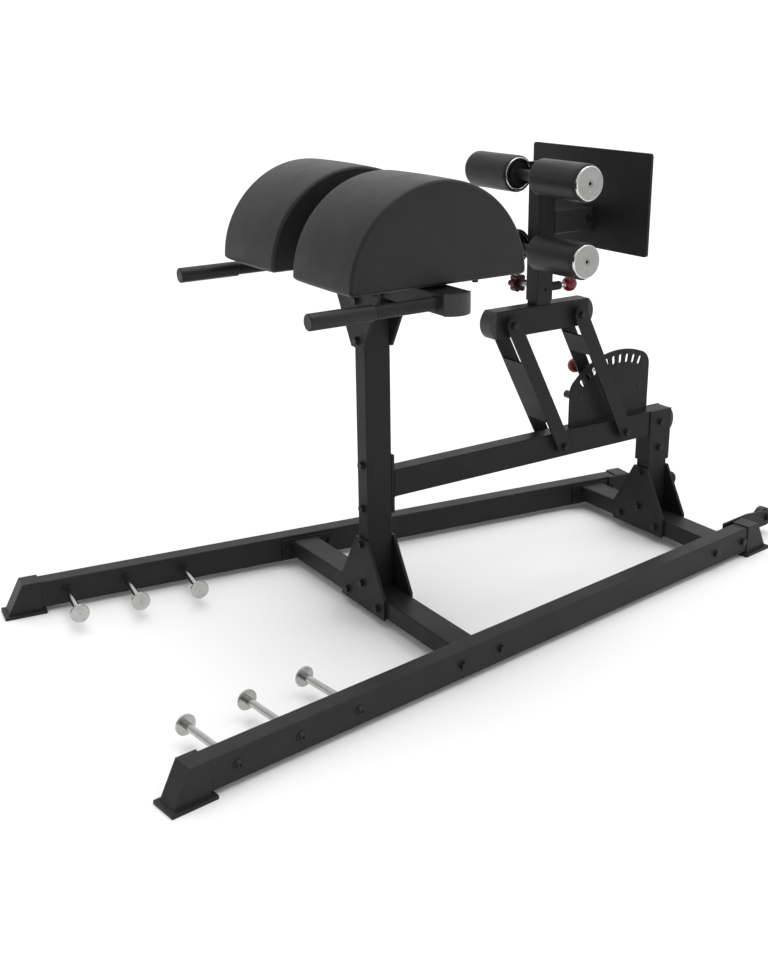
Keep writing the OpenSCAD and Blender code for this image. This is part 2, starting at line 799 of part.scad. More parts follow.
module pad_form() {
    rings = concat(pad_side_rings(-1), pad_rim_rings(), reversed(pad_side_rings(1)));
    rows = len(rings);
    points = concat([for (r = rings) each r],
        [[pad_mid[0], -pad_w / 2, pad_mid[1]], [pad_mid[0], pad_w / 2, pad_mid[1]]]);
    near_tip = rows * pad_n;
    walls = [for (i = [0:rows - 2], j = [0:pad_n - 1])
        let (a = i * pad_n + j, b = i * pad_n + (j + 1) % pad_n)
        each [[a, b, b + pad_n], [a, b + pad_n, a + pad_n]]];
    near = [for (j = [0:pad_n - 1]) [near_tip, (j + 1) % pad_n, j]];
    last = (rows - 1) * pad_n;
    far = [for (j = [0:pad_n - 1]) [near_tip + 1, last + j, last + (j + 1) % pad_n]];
    polyhedron(points, concat(walls, near, far));
}

module pad(side) {
    color(VINYL) difference() {
        translate([pad_x, side * pad_y, pad_z]) pad_form();
        box([pad_x - board_half[0] - seat, pad_x + board_half[0] + seat],
            [side * pad_y - board_half[1] - seat, side * pad_y + board_half[1] + seat],
            [pad_z - 1, plate_top + board_t]);
    }
}

module pad_near() {
    pad(-1);
}

module pad_far() {
    pad(1);
}

// Band pegs

collar_t = 4;

module peg() {
    root = rail_inner - collar_t;
    tip = rail_inner - peg_len;
    difference() {
        union() {
            rod_y(peg_rod_d / 2, [tip + 1, root]);
            translate([0, tip, 0]) rotate([-90, 0, 0]) rotate_extrude()
                polygon([[0, 0], [peg_disc_d / 2 - 1.2, 0], [peg_disc_d / 2, 1.2],
                    [peg_disc_d / 2, peg_disc_t - 1.2], [peg_disc_d / 2 - 1.2, peg_disc_t],
                    [0, peg_disc_t]]);
        }
        rod_y(2.5, [tip - 1, tip + 1.5]);
        rod_y(5 + run, [root - 22, root + 1]);
    }
}

module band_pegs() {
    color(STEEL) for (side = [-1, 1]) at_rail(side) peg_places() peg();
}

module peg_fasteners() {
    color(ZINC) for (side = [-1, 1]) at_rail(side) peg_places() {
        difference() {
            rod_y(16, [rail_inner - collar_t, rail_inner]);
            rod_y(5.5, [rail_inner - tube_slim, rail_inner + 1]);
        }
        rod_y(5, [rail_inner - collar_t - 20, tube_slim / 2 + 2]);
        rod_y(14, [tube_slim / 2, tube_slim / 2 + 1.8]);
        difference() {
            translate([0, tube_slim / 2 + 1.8, 0]) rotate([-90, 0, 0])
                cylinder(r1 = 10.5, r2 = 7.5, h = 5, $fn = 48);
            translate([0, tube_slim / 2 + 4, 0]) rotate([-90, 0, 0])
                cylinder(r = 3.8, h = 5, $fn = 6);
        }
    }
}

// Transport wheels

module bracket_outline(start) {
    polygon([[start, bracket_top], [rail_u_rear + bracket_flat, bracket_top],
        [wheel_u + ear_r * cos(60), wheel_z + ear_r * sin(60)],
        [wheel_u, wheel_z - ear_r], [start, bracket_low]]);
    translate([wheel_u, wheel_z]) circle(ear_r);
}

module wheel_brackets() {
    plate_start = rail_u_rear + u_shift + end_bolt_half - bolt_edge + 4;
    spacer_u = rail_u_rear + rear_reach + rail_socket;
    color(BLACK) for (side = [-1, 1]) at_rail(side) difference() {
        union() {
            translate([0, ear_v + bracket_t / 2, 0]) xz_along_y(bracket_t)
                bracket_outline(plate_start);
            box([spacer_u, spacer_u + spacer_w], [ear_v + bracket_t - 1, -foot_w / 2],
                [bracket_low + 4, bracket_top - 12]);
        }
        translate([wheel_u, 0, wheel_z]) rod_y(bolt_r + run, [-huge, huge]);
        translate([rail_u_rear + u_shift + end_bolt_half, 0, rail_z])
            rod_y(bolt_r + bolt_gap, [-huge, huge]);
    }
}

module wheel_bolts() {
    color(ZINC) for (side = [-1, 1])
        at_rail(side) translate([wheel_u, ear_v + bracket_t, wheel_z])
            rotate([0, 0, -90]) frame_bolt(ear_gap + bracket_t);
}

module wheel(side) {
    hub = ear_gap / 2 - 0.4;
    half = wheel_w / 2;
    r = wheel_d / 2;
    color(FOAM) at_rail(side) translate([wheel_u, wheel_v, wheel_z]) rotate([-90, 0, 0])
        rotate_extrude($fn = 64) difference() {
            union() {
                translate([0, -half]) square([r - 3, 2 * half]);
                translate([0, 3 - half]) square([r, 2 * half - 6]);
                for (s = [-1, 1]) translate([r - 3, s * (half - 3)]) circle(3);
                translate([0, -hub]) square([12, 2 * hub]);
            }
            translate([-1, -huge]) square([1 + bolt_r + run, 2 * huge]);
            for (s = [-1, 1]) translate([14, s > 0 ? half - 3 : -half - 1]) square([8, 4]);
        }
}

module wheel_near() {
    wheel(-1);
}

module wheel_far() {
    wheel(1);
}

// Index plate and stops. Flat shapes are [x, z] from the rear link's lower pivot.

index_left = -index_front;
index_right = index_rear;

// What lies outside the rounded shoulder between an upright edge and the arc
module shoulder_cut(edge) {
    s = sign(edge);
    cx = edge - s * shoulder_r;
    cz = sqrt(pow(index_r - shoulder_r, 2) - cx * cx);
    arc_dir = [cx, cz] / norm([cx, cz]);
    translate([cx, cz]) difference() {
        polygon([[0, 0], [s * 3 * shoulder_r, 0], [s * 3 * shoulder_r, 3 * shoulder_r],
            arc_dir * 3 * shoulder_r]);
        circle(shoulder_r);
    }
}

module index_outline() {
    difference() {
        intersection() {
            circle(index_r, $fn = 128);
            translate([index_left, tube_deep / 2]) square([index_right - index_left, index_r]);
        }
        shoulder_cut(index_left);
        shoulder_cut(index_right);
        for (k = [0:slot_count - 1]) rotate(link_lean + (slots_ahead - k) * slot_step)
            translate([0, slot_r]) {
                square([slot_w, slot_len - slot_w], center = true);
                for (s = [-1, 1]) translate([0, s * (slot_len - slot_w) / 2]) circle(slot_w / 2);
            }
        for (p = [stop_front, stop_rear]) translate(p) circle(stop_bolt_r + bolt_gap);
    }
}

module index_plate() {
    color(BLACK) translate([x_index, index_y + index_t / 2, boom_z])
        xz_along_y(index_t) index_outline();
}

module stop_places() {
    for (p = [stop_front, stop_rear])
        translate([x_index + p[0], index_y + index_t, boom_z + p[1]]) children();
}

module rubber_stops() {
    color(FOAM) stop_places() difference() {
        rod_y(stop_d / 2, [0, stop_len]);
        rod_y(stop_bolt_r + seat, [-1, stop_len + 1]);
    }
}

module stop_bolts() {
    color(ZINC) stop_places() {
        rod_y(stop_bolt_r, [-index_t - 1, stop_len + 2]);
        rod_y(9.5, [-index_t - 1.2, -index_t]);
        rod_y(8, [stop_len, stop_len + 3]);
    }
}

// Links. Each is drawn upright from its lower pivot and leant over.

module lean_at(x) {
    translate([x, 0, boom_z]) rotate([0, -link_lean, 0]) children();
}

module link(web) {
    difference() {
        union() {
            for (side = [-1, 1]) translate([0, side * (link_y + link_t / 2), 0])
                xz_along_y(link_t) {
                    translate([-link_w / 2, 0]) square([link_w, link_len]);
                    for (z = [0, link_len]) translate([0, z]) circle(link_w / 2);
                }
            box([-link_w / 2, web_t - link_w / 2], [-link_y - 1, link_y + 1], web);
        }
        for (z = [0, link_len]) translate([0, 0, z])
            rod_y(pivot_r + run, [-tube_deep, tube_deep]);
    }
}

module front_link() {
    color(BLACK) lean_at(x_link) link(front_web);
}

module rear_link() {
    color(BLACK) lean_at(x_index) difference() {
        union() {
            link(rear_web);
            translate([0, 0, slot_r])
                rod_y(housing_r, [link_y - link_housing_in, link_out + link_housing_len]);
        }
        translate([0, 0, slot_r]) rod_y(pin_r + run, [0, tube_deep + link_housing_len]);
    }
}

link_ball_y = link_out + link_housing_len + link_pin_travel + ball_r + pass;

module link_pin() {
    tip = index_y + index_t + pass;
    shoulder = tip + link_pin_travel;
    color(STEEL) lean_at(x_index) translate([0, 0, slot_r]) {
        rod_y(pin_tip_d / 2, [tip, shoulder + 1]);
        rod_y(pin_r, [shoulder, link_ball_y - ball_web]);
    }
}

// A ball knob turned about +Z, with a blind hole for its pin from below
module ball_knob() {
    rotate_extrude($fn = 64) difference() {
        circle(ball_r);
        translate([-2 * ball_r, -2 * ball_r]) square([2 * ball_r, 4 * ball_r]);
        translate([-1, -2 * ball_r]) square([1 + pin_r + snug, 2 * ball_r - ball_web]);
    }
}

module link_pin_ball() {
    color(RED) lean_at(x_index) translate([0, link_ball_y, slot_r]) rotate([-90, 0, 0])
        ball_knob();
}

// Pivot bolts: the head and nut stand just clear of the link plates they hold
module pivot_bolt() {
    reach = link_out + pass;
    rod_y(pivot_r, [-reach - 10, reach + 12]);
    rod_y(pivot_r * 1.5, [-reach - 2, -reach]);
    rod_y(pivot_r * 1.5, [reach, reach + 2]);
    translate([0, -reach - 9, 0]) rotate([-90, 0, 0])
        cylinder(r = pivot_r * 1.32, h = 7, $fn = 6);
    translate([0, reach + 2, 0]) rotate([-90, 0, 0])
        cylinder(r = pivot_r * 1.32, h = 8, $fn = 6);
}

module lower_pivot_bolts() {
    color(ZINC) for (x = [x_link, x_index]) translate([x, 0, boom_z]) pivot_bolt();
}

module upper_pivot_bolts() {
    color(ZINC) for (x = [0, link_spacing])
        translate([x_carriage + x, 0, z_carriage]) pivot_bolt();
}

// Carriage and post

carriage_ends = [x_carriage - carriage_front, x_carriage + link_spacing + carriage_rear];

module carriage_tube() {
    color(BLACK) difference() {
        union() {
            translate([carriage_ends[0], 0, z_carriage])
                yz_along_x(carriage_ends[1] - carriage_ends[0])
                tube_profile(tube_slim, tube_deep, tube_wall, tube_corner);
            for (x = [0, link_spacing]) translate([x_carriage + x, 0, z_carriage])
                rod_y(boss_r, [-boss_reach, boss_reach]);
        }
        for (x = [0, link_spacing]) translate([x_carriage + x, 0, z_carriage])
            rod_y(pivot_r + run, [-tube_deep, tube_deep]);
    }
}

module carriage_caps() {
    color(BLACK) translate([carriage_ends[1], 0, z_carriage]) arched_cap(tube_deep, tube_slim);
    color(BLACK) translate([carriage_ends[0], 0, z_carriage]) mirror([1, 0, 0])
        arched_cap(tube_deep, tube_slim);
}

post_deep = sleeve_deep - 2 * sleeve_wall - 2 * post_fit;
post_wide = sleeve_wide - 2 * sleeve_wall - 2 * post_fit;

module inner_post() {
    color(STEEL) difference() {
        translate([x_post, 0, carriage_top]) linear_extrude(post_len)
            tube_profile(post_deep, post_wide, tube_wall, 2);
        for (i = [0:6]) translate([x_post, 0, height_pin_z + i * hole_pitch])
            rod_x(pin_r + 0.4, [0, post_deep]);
    }
}

module roller_sleeve() {
    nut_t = 6;
    wide = sleeve_wide / 2;
    color(BLACK) difference() {
        union() {
            translate([x_post, 0, sleeve_z]) difference() {
                linear_extrude(sleeve_len) round_rect(sleeve_deep, sleeve_wide, 3);
                translate([0, 0, -1]) linear_extrude(sleeve_len - 2)
                    round_rect(sleeve_deep - 2 * sleeve_wall, sleeve_wide - 2 * sleeve_wall, 1);
            }
            box([x_post - 21, x_post + 21], [wide - 0.5, wide + nut_t],
                [height_pin_z - 32, height_pin_z + 32]);
            translate([0, 0, height_pin_z])
                rod_x(housing_r, [sleeve_rear - 0.5, sleeve_rear + height_housing_len]);
        }
        translate([0, 0, height_pin_z])
            rod_x(pin_r + run, [x_post, sleeve_rear + height_housing_len + 1]);
        translate([x_post, 0, height_pin_z]) rod_y(bolt_r + run, [0, wide + nut_t + 1]);
        translate([x_post, 0, height_pin_z]) rod_y(4.5, [-wide - 1, 0]);
    }
}

height_ball_x = sleeve_rear + height_housing_len + height_pin_travel + ball_r + 3;

module height_pin() {
    color(STEEL) translate([0, 0, height_pin_z])
        rod_x(pin_r, [sleeve_rear - sleeve_wall, height_ball_x - ball_web]);
}

module height_pin_ball() {
    color(RED) translate([height_ball_x, 0, height_pin_z]) rotate([0, 90, 0]) ball_knob();
}

module star_knob() {
    lobes = 6;
    lobe_r = star_d * 0.17;
    core_r = star_d / 2 - lobe_r;
    tip_y = sleeve_wide / 2 - sleeve_wall - post_fit + pass;
    color(RED) translate([x_post, 0, height_pin_z]) {
        rod_y(bolt_r, [tip_y, star_y + star_t - 2]);
        translate([0, star_y + star_t / 2, 0]) xz_along_y(star_t) {
            circle(core_r);
            for (i = [0:lobes - 1]) rotate(i * 360 / lobes)
                translate([core_r, 0]) circle(lobe_r);
        }
        rod_y(star_d * 0.22, [star_y - 6, star_y + 1]);
    }
}

// Foot plate

x_arm_bolt = x_plate - arm_bolt_back;
arm_bolt_r = arm_bolt_d / 2;

module foot_plate() {
    arm_fit = tube_wall + seat;
    x_flange = x_plate - 3;
    color(BLACK) difference() {
        union() {
            translate([x_plate, 0, z_plate]) yz_along_x(foot_plate_thick)
                round_rect(foot_plate_wide, foot_plate_high, 8);
            translate([x_flange, 0, z_arm]) yz_along_x(3.5)
                square([arm_wide + 8, arm_high + 8], center = true);
            translate([x_plate - stub_len, 0, z_arm]) yz_along_x(stub_len)
                tube_profile(arm_wide - 2 * arm_fit, arm_high - 2 * arm_fit, tube_wall, 2);
        }
        translate([x_arm_bolt, 0, z_arm])
            rod_y(arm_bolt_r + bolt_gap, [-arm_wide, arm_wide]);
    }
}

module foot_plate_arm() {
    color(BLACK) difference() {
        translate([sleeve_rear, 0, z_arm]) yz_along_x(x_plate - 3 - sleeve_rear)
            tube_profile(arm_wide, arm_high, tube_wall, 4);
        translate([x_arm_bolt, 0, z_arm])
            rod_y(arm_bolt_r + bolt_gap, [-arm_wide, arm_wide]);
    }
}

module foot_plate_bolt() {
    reach = arm_wide / 2;
    color(ZINC) translate([x_arm_bolt, 0, z_arm]) {
        rod_y(arm_bolt_r, [-reach - 2, reach + 12]);
        rod_y(arm_bolt_r * 2, [-reach - 1.6, -reach]);
        rod_y(arm_bolt_r * 2, [reach, reach + 1.6]);
        for (y = [-reach - 8, reach + 1.6]) translate([0, y, 0]) rotate([-90, 0, 0])
            cylinder(r = arm_bolt_r * 1.7, h = 6.4, $fn = 6);
    }
}

// Rollers

axle_end = roller_out - roller_cap_t - 1;
screw_r = 5;

module roller_axles() {
    color(BLACK) for (z = [z_low_axle, z_high_axle]) translate([x_axle, 0, z]) {
        rod_y(axle_d / 2, [-axle_end, axle_end]);
        box([0, sleeve_front - x_axle], [-18, 18], [-axle_d / 2 + 2, axle_d / 2 - 2]);
        for (side = [-1, 1]) mirror([0, side < 0 ? 1 : 0, 0]) {
            rod_y(screw_r, [axle_end - 1, roller_out - 2]);
            difference() {
                rod_y(8, [roller_out - 3.5, roller_out - 0.6]);
                translate([0, roller_out - 2.4, 0]) rotate([-90, 0, 0])
                    cylinder(r = 3.4, h = 4, $fn = 6);
            }
        }
    }
}

module at_roller(z, side) {
    translate([x_axle, 0, z]) mirror([0, side < 0 ? 1 : 0, 0]) rotate([-90, 0, 0]) children();
}

core_r = axle_d / 2 + 3;

// The foam, turned about its axle. The flat shape is [radius, distance out].
module roller(z, side) {
    low = roller_in;
    high = roller_out - roller_cap_t;
    r = roller_d / 2;
    edge = 5;
    color(FOAM) at_roller(z, side) rotate_extrude($fn = 96) difference() {
        union() {
            translate([0, low]) square([r - edge, high - low]);
            translate([0, low + edge]) square([r, high - low - 2 * edge]);
            for (h = [low + edge, high - edge]) translate([r - edge, h]) circle(edge);
        }
        translate([-r, low - 1]) square([r + core_r, high - low + 2]);
        translate([-r, low - 1]) square([r + ring_d / 2, ring_t + 1]);
    }
}

module hub(z, side) {
    r = roller_d / 2 - 5;
    top = roller_out;
    low = roller_out - roller_cap_t;
    edge = roller_cap_t / 2;
    color(ALLOY) at_roller(z, side) rotate_extrude($fn = 96) difference() {
        union() {
            translate([0, roller_in]) square([core_r, low - roller_in + 1]);
            translate([0, roller_in]) square([ring_d / 2, ring_t]);
            translate([0, low]) square([r - edge, roller_cap_t]);
            translate([0, low]) square([r, roller_cap_t - edge]);
            translate([r - edge, top - edge]) circle(edge);
        }
        translate([-r, roller_in - 1]) square([r + axle_d / 2 + run, axle_end + 1.4 - roller_in]);
        translate([-r, roller_in - 1]) square([r + 6, roller_out]);
        translate([-r, roller_out - 4]) square([r + 9, 5]);
    }
}

module roller_high_near() {
    roller(z_high_axle, -1);
}

module roller_high_far() {
    roller(z_high_axle, 1);
}

module roller_low_near() {
    roller(z_low_axle, -1);
}

module roller_low_far() {
    roller(z_low_axle, 1);
}

module hub_high_near() {
    hub(z_high_axle, -1);
}

module hub_high_far() {
    hub(z_high_axle, 1);
}

module hub_low_near() {
    hub(z_low_axle, -1);
}

module hub_low_far() {
    hub(z_low_axle, 1);
}

rail(-1);  // rail_near
rail(1);  // rail_far
front_feet();
rear_feet();
front_crossbeam();
rear_crossbeam();
rail_bolts();
main_upright();
rear_upright();
base_gussets();
top_gussets();
gusset_bolts();
boom();
boom_saddle();
boom_bolts();
cross_tube();
tube_end_caps();
handle_rods();
handle_grips();
pad_plates();
pad_boards();
pad_near();
pad_far();
pad_bolts();
band_pegs();
peg_fasteners();
index_plate();
rubber_stops();
stop_bolts();
lower_pivot_bolts();
wheel_brackets();
wheel_bolts();
wheel_near();
wheel_far();
front_link();
rear_link();
link_pin();
link_pin_ball();
carriage_tube();
carriage_caps();
inner_post();
upper_pivot_bolts();
roller_sleeve();
roller_axles();
foot_plate();
foot_plate_arm();
foot_plate_bolt();
height_pin();
height_pin_ball();
star_knob();
roller_high_near();
roller_high_far();
roller_low_near();
roller_low_far();
hub_high_near();
hub_high_far();
hub_low_near();
hub_low_far();
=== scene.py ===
"""Looks of a glute ham developer on its fixed CAD frame.

The steel parts keep their CAD shapes and get their finishes here. The torso
pads, the foam of the ankle rollers and the hand grips are modelled here, with
the small trim that sits on the steel. Lengths are in metres, angles in degrees
unless a name says otherwise, and every piece is made in the frame's own axes.
"""

import logging
import math
from dataclasses import dataclass
from enum import Enum
from typing import Callable, ClassVar

import bmesh
import bpy
from mathutils import Matrix, Vector, noise


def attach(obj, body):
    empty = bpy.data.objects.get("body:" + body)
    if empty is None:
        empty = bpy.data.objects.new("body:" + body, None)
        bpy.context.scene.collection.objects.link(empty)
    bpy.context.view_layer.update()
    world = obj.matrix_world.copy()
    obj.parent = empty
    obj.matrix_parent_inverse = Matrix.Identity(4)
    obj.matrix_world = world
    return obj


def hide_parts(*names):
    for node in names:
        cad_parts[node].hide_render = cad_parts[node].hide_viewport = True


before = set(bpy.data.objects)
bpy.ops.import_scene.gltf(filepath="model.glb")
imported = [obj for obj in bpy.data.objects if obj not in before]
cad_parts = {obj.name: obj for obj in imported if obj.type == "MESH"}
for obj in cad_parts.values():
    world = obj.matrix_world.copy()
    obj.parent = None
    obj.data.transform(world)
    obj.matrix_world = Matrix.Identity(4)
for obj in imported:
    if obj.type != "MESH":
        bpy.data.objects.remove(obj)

log = logging.getLogger("glute_ham_developer")

Colour = tuple[float, float, float]
Point = tuple[float, float, float]
Pair = tuple[float, float]
Profile = list[Pair]
Face = tuple[int, ...]
Shape = tuple[list[Point], list[Face]]
Socket = bpy.types.NodeSocket

# Places on the CAD frame that more than one class uses
AXLE_X = 0.271754
AXLE_LOW = 0.924723
AXLE_SPACING = 0.1925
HANDLE_Y = 0.330
HANDLE_HEIGHT = 0.903


class Side(Enum):
    """The two sides of the machine, as the sign of their Y."""

    NEAR = -1
    FAR = 1


class Level(Enum):
    """The two heights of ankle rollers, as steps above the lower axle."""

    HIGH = 1
    LOW = 0


# Finishes


class Wiring:
    """The shader nodes of one material: one surface and the patterns that feed it.

    Every pattern is measured on the piece itself, in metres, so it stays on the piece in any pose.
    """

    def __init__(self, name: str) -> None:
        """Start a material that holds only its surface and its output.

        Args:
            name: The material's name.
        """
        self.material = bpy.data.materials.new(name)
        self.material.use_nodes = True
        self.tree = self.material.node_tree
        self.tree.nodes.clear()
        self.surface = self.node("BsdfPrincipled")
        self.node("OutputMaterial", Surface=self.surface.outputs["BSDF"])
        self.place = self.node("TexCoord").outputs["Object"]

    def put(self, target: Socket, value: Socket | float | Point) -> None:
        """Join another socket to an input, or set its plain value."""
        if isinstance(value, Socket):
            self.tree.links.new(value, target)
        else:
            target.default_value = value

    def node(self, kind: str, **inputs: Socket | float | Point) -> bpy.types.Node:
        """Add one node.

        Args:
            kind: Blender's name of the node, without what all of them start with.
            inputs: What goes into its sockets, named with underscores for spaces.

        Returns:
            The new node.
        """
        node = self.tree.nodes.new(f"ShaderNode{kind}")
        for name, value in inputs.items():
            self.put(node.inputs[name.replace("_", " ")], value)
        return node

    def feed(self, **inputs: Socket | float) -> None:
        """Put patterns or plain values into the surface's sockets, named as in node()."""
        for name, value in inputs.items():
            self.put(self.surface.inputs[name.replace("_", " ")], value)

    def stretched(self, scale: Point) -> Socket:
        """Return the place on the piece with each axis scaled."""
        return self.node("Mapping", Vector=self.place, Scale=scale).outputs["Vector"]

    def grain(
        self,
        size: float,
        detail: float = 3.0,
        rough: float = 0.55,
        where: Socket | None = None,
        warp: float = 0.0,
    ) -> Socket:
        """Return soft noise.

        Args:
            size: Width of one patch, in metres.
            detail: Layers of finer noise.
            rough: Strength of the finer layers.
            where: The place to measure from, or the piece's own.
            warp: How much the patches are bent.

        Returns:
            The noise, from 0 to 1.
        """
        node = self.node(
            "TexNoise", Vector=where or self.place, Scale=1.0 / size,
            Detail=detail, Roughness=rough, Distortion=warp,
        )
        return node.outputs["Fac"]

    def cells(self, size: float, walls: bool = False) -> Socket:
        """Return a pattern of small cells.

        Args:
            size: Width of one cell, in metres.
            walls: Measure from the walls between cells, and not from their centres.

        Returns:
            The distance, in cells.
        """
        node = self.node("TexVoronoi", Vector=self.place, Scale=1.0 / size)
        node.feature = "DISTANCE_TO_EDGE" if walls else "F1"
        return node.outputs["Distance"]

    def between(
        self,
        value: Socket,
        low: float,
        high: float,
        at_low: float = 0.0,
        at_high: float = 1.0,
    ) -> Socket:
        """Return a value moved from one range to another, held at the ends.

        Args:
            value: The value to move.
            low: The first end of its range.
            high: The second end of its range.
            at_low: The result at the first end.
            at_high: The result at the second end.

        Returns:
            The moved value.
        """
        node = self.node(
            "MapRange", Value=value, From_Min=low, From_Max=high, To_Min=at_low, To_Max=at_high
        )
        return node.outputs["Result"]

    def calc(self, operation: str, *values: Socket | float) -> Socket:
        """Return the result of one arithmetic step.

        Args:
            operation: Blender's name of the step, such as ADD.
            values: One or two values.

        Returns:
            The result.
        """
        node = self.node("Math")
        node.operation = operation
        for target, value in zip(node.inputs, values):
            self.put(target, value)
        return node.outputs["Value"]

    def plus(self, first: Socket, second: Socket) -> Socket:
        """Return the sum of two values."""
        return self.calc("ADD", first, second)

    def less(self, first: Socket | float, second: Socket | float) -> Socket:
        """Return the first value less the second."""
        return self.calc("SUBTRACT", first, second)

    def times(self, first: Socket, second: Socket | float) -> Socket:
        """Return two values multiplied."""
        return self.calc("MULTIPLY", first, second)

    def blend(
        self,
        share: Socket,
        first: Colour | Socket,
        second: Colour | Socket,
    ) -> Socket:
        """Return a mix of two colours.

        Args:
            share: How much of the second colour shows, from 0 to 1.
            first: The first colour.
            second: The second colour.

        Returns:
            The mixed colour.
        """
        node = self.node("Mix", Factor=share)
        node.data_type = "RGBA"
        for target, colour in ((node.inputs[6], first), (node.inputs[7], second)):
            self.put(target, (*colour, 1.0) if isinstance(colour, tuple) else colour)
        return node.outputs[2]

    def axes(self) -> tuple[Socket, Socket, Socket]:
        """Return the place on the piece as its X, Y and Z."""
        return tuple(self.node("SeparateXYZ", Vector=self.place).outputs)

    def from_axle(self) -> Socket:
        """Return the distance from the nearer roller axle, in metres."""
        x, _, z = self.axes()
        across = self.less(x, AXLE_X)
        off_middle = self.calc("ABSOLUTE", self.less(z, AXLE_LOW + AXLE_SPACING / 2))
        up = self.less(off_middle, AXLE_SPACING / 2)
        return self.calc("SQRT", self.plus(self.times(across, across), self.times(up, up)))

    def softened(self, radius: float) -> Socket:
        """Return surface normals that are rounded over sharp edges.

        Args:
            radius: Radius of the rounding, in metres.

        Returns:
            The rounded normals.
        """
        node = self.node("Bevel", Radius=radius)
        node.samples = 4
        return node.outputs["Normal"]

    def worn_edges(self, rounded: Socket) -> Socket:
        """Return how close the surface is to a sharp edge.

        Args:
            rounded: Normals that are rounded over sharp edges.

        Returns:
            0 on flat ground, and up to 1 at an edge.
        """
        node = self.node("VectorMath")
        node.operation = "DOT_PRODUCT"
        self.put(node.inputs[0], rounded)
        self.put(node.inputs[1], self.node("NewGeometry").outputs["Normal"])
        return self.between(node.outputs["Value"], 0.995, 0.86)

    def relief(
        self,
        height: Socket,
        depth: float,
        strength: float = 1.0,
        under: Socket | None = None,
    ) -> Socket:
        """Return normals with a fine relief on them.

        Args:
            height: The relief's height, from 0 to 1.
            depth: What a height of 1 stands for, in metres.
            strength: How strongly the relief shows.
            under: Normals that the relief lies on.

        Returns:
            The normals.
        """
        node = self.node("Bump", Strength=strength, Distance=depth, Height=height)
        if under is not None:
            self.put(node.inputs["Normal"], under)
        return node.outputs["Normal"]


@dataclass(frozen=True)
class Finish:
    """A finish that can make its material."""

    name: str = "finish"

    def wire(self, w: Wiring) -> None:
        """Wire the finish's patterns.

        Args:
            w: The wiring of the new material.
        """
        raise NotImplementedError

    def build(self) -> bpy.types.Material:
        """Make the material."""
        w = Wiring(self.name)
        self.wire(w)
        return w.material


@dataclass(frozen=True)
class PowderCoat(Finish):
    """Satin black powder coat: orange peel, a faint mottle, and paler rubbed edges."""

    name: str = "powder_coat"
    colour: Colour = (0.0165, 0.0165, 0.0168)
    mottled: Colour = (0.0198, 0.0198, 0.0201)
    rubbed: Colour = (0.034, 0.034, 0.035)
    roughness: float = 0.42
    peel: float = 0.0022
    edge: float = 0.0012

    def wire(self, w: Wiring) -> None:
        """Wire the patterns."""
        rounded = w.softened(self.edge)
        worn = w.times(w.worn_edges(rounded), w.between(w.grain(0.018, 4.0), 0.42, 0.72))
        mottle = w.between(w.grain(0.05, 5.0, warp=0.4), 0.35, 0.7)
        paint = w.blend(mottle, self.colour, self.mottled)
        w.feed(Base_Color=w.blend(w.times(worn, 0.8), paint, self.rubbed))
        matt, glossy = self.roughness + 0.09, self.roughness - 0.05
        w.feed(Roughness=w.between(w.grain(0.11, 3.0), 0.3, 0.75, glossy, matt))
        dimples = w.times(w.cells(self.peel * 0.7), 0.35)
        peel = w.plus(w.grain(self.peel, 2.0), dimples)
        w.feed(Normal=w.relief(peel, self.peel / 10, 0.35, rounded))
        w.feed(Specular_IOR_Level=0.12, Coat_Weight=0.02, Coat_Roughness=0.3)


@dataclass(frozen=True)
class BlackZinc(Finish):
    """Blackened bolts and nuts: dark plated steel with turned faces and bright, rubbed corners."""

    name: str = "black_zinc"
    colour: Colour = (0.018, 0.018, 0.019)
    speckled: Colour = (0.03, 0.03, 0.031)
    rubbed: Colour = (0.11, 0.11, 0.115)
    roughness: float = 0.36

    def wire(self, w: Wiring) -> None:
        """Wire the patterns."""
        rounded = w.softened(0.0008)
        speck = w.between(w.grain(0.0035, 4.0), 0.4, 0.75)
        worn = w.times(w.worn_edges(rounded), w.between(w.grain(0.006, 3.0), 0.3, 0.6))
        plate = w.blend(speck, self.colour, self.speckled)
        w.feed(Base_Color=w.blend(worn, plate, self.rubbed))
        w.feed(Roughness=w.between(speck, 0.0, 1.0, self.roughness, self.roughness + 0.18))
        w.feed(Metallic=0.75, Normal=w.relief(w.grain(0.0009, 3.0), 0.0001, 0.5, rounded))


@dataclass(frozen=True)
class Chrome(Finish):
    """Polished plate: near mirror, with a slight haze, fine rub marks and a faint warm stain."""

    name: str = "chrome"
    colour: Colour = (0.62, 0.61, 0.60)
    hazed: Colour = (0.50, 0.49, 0.475)
    roughness: float = 0.13
    stretch: Point = (1.0, 1.0, 1.0)

    def wire(self, w: Wiring) -> None:
        """Wire the patterns."""
        haze = w.between(w.grain(0.03, 4.0, warp=0.6), 0.4, 0.7)
        rubs = w.grain(0.0012, 4.0, 0.6, w.stretched(self.stretch))
        w.feed(Base_Color=w.blend(haze, self.colour, self.hazed))
        dull = w.plus(w.times(haze, 0.5), w.times(rubs, 0.5))
        w.feed(Roughness=w.between(dull, 0.2, 0.8, self.roughness - 0.05, self.roughness + 0.12))
        w.feed(Metallic=1.0, Normal=w.relief(rubs, 0.00004, 0.35, w.softened(0.0006)))


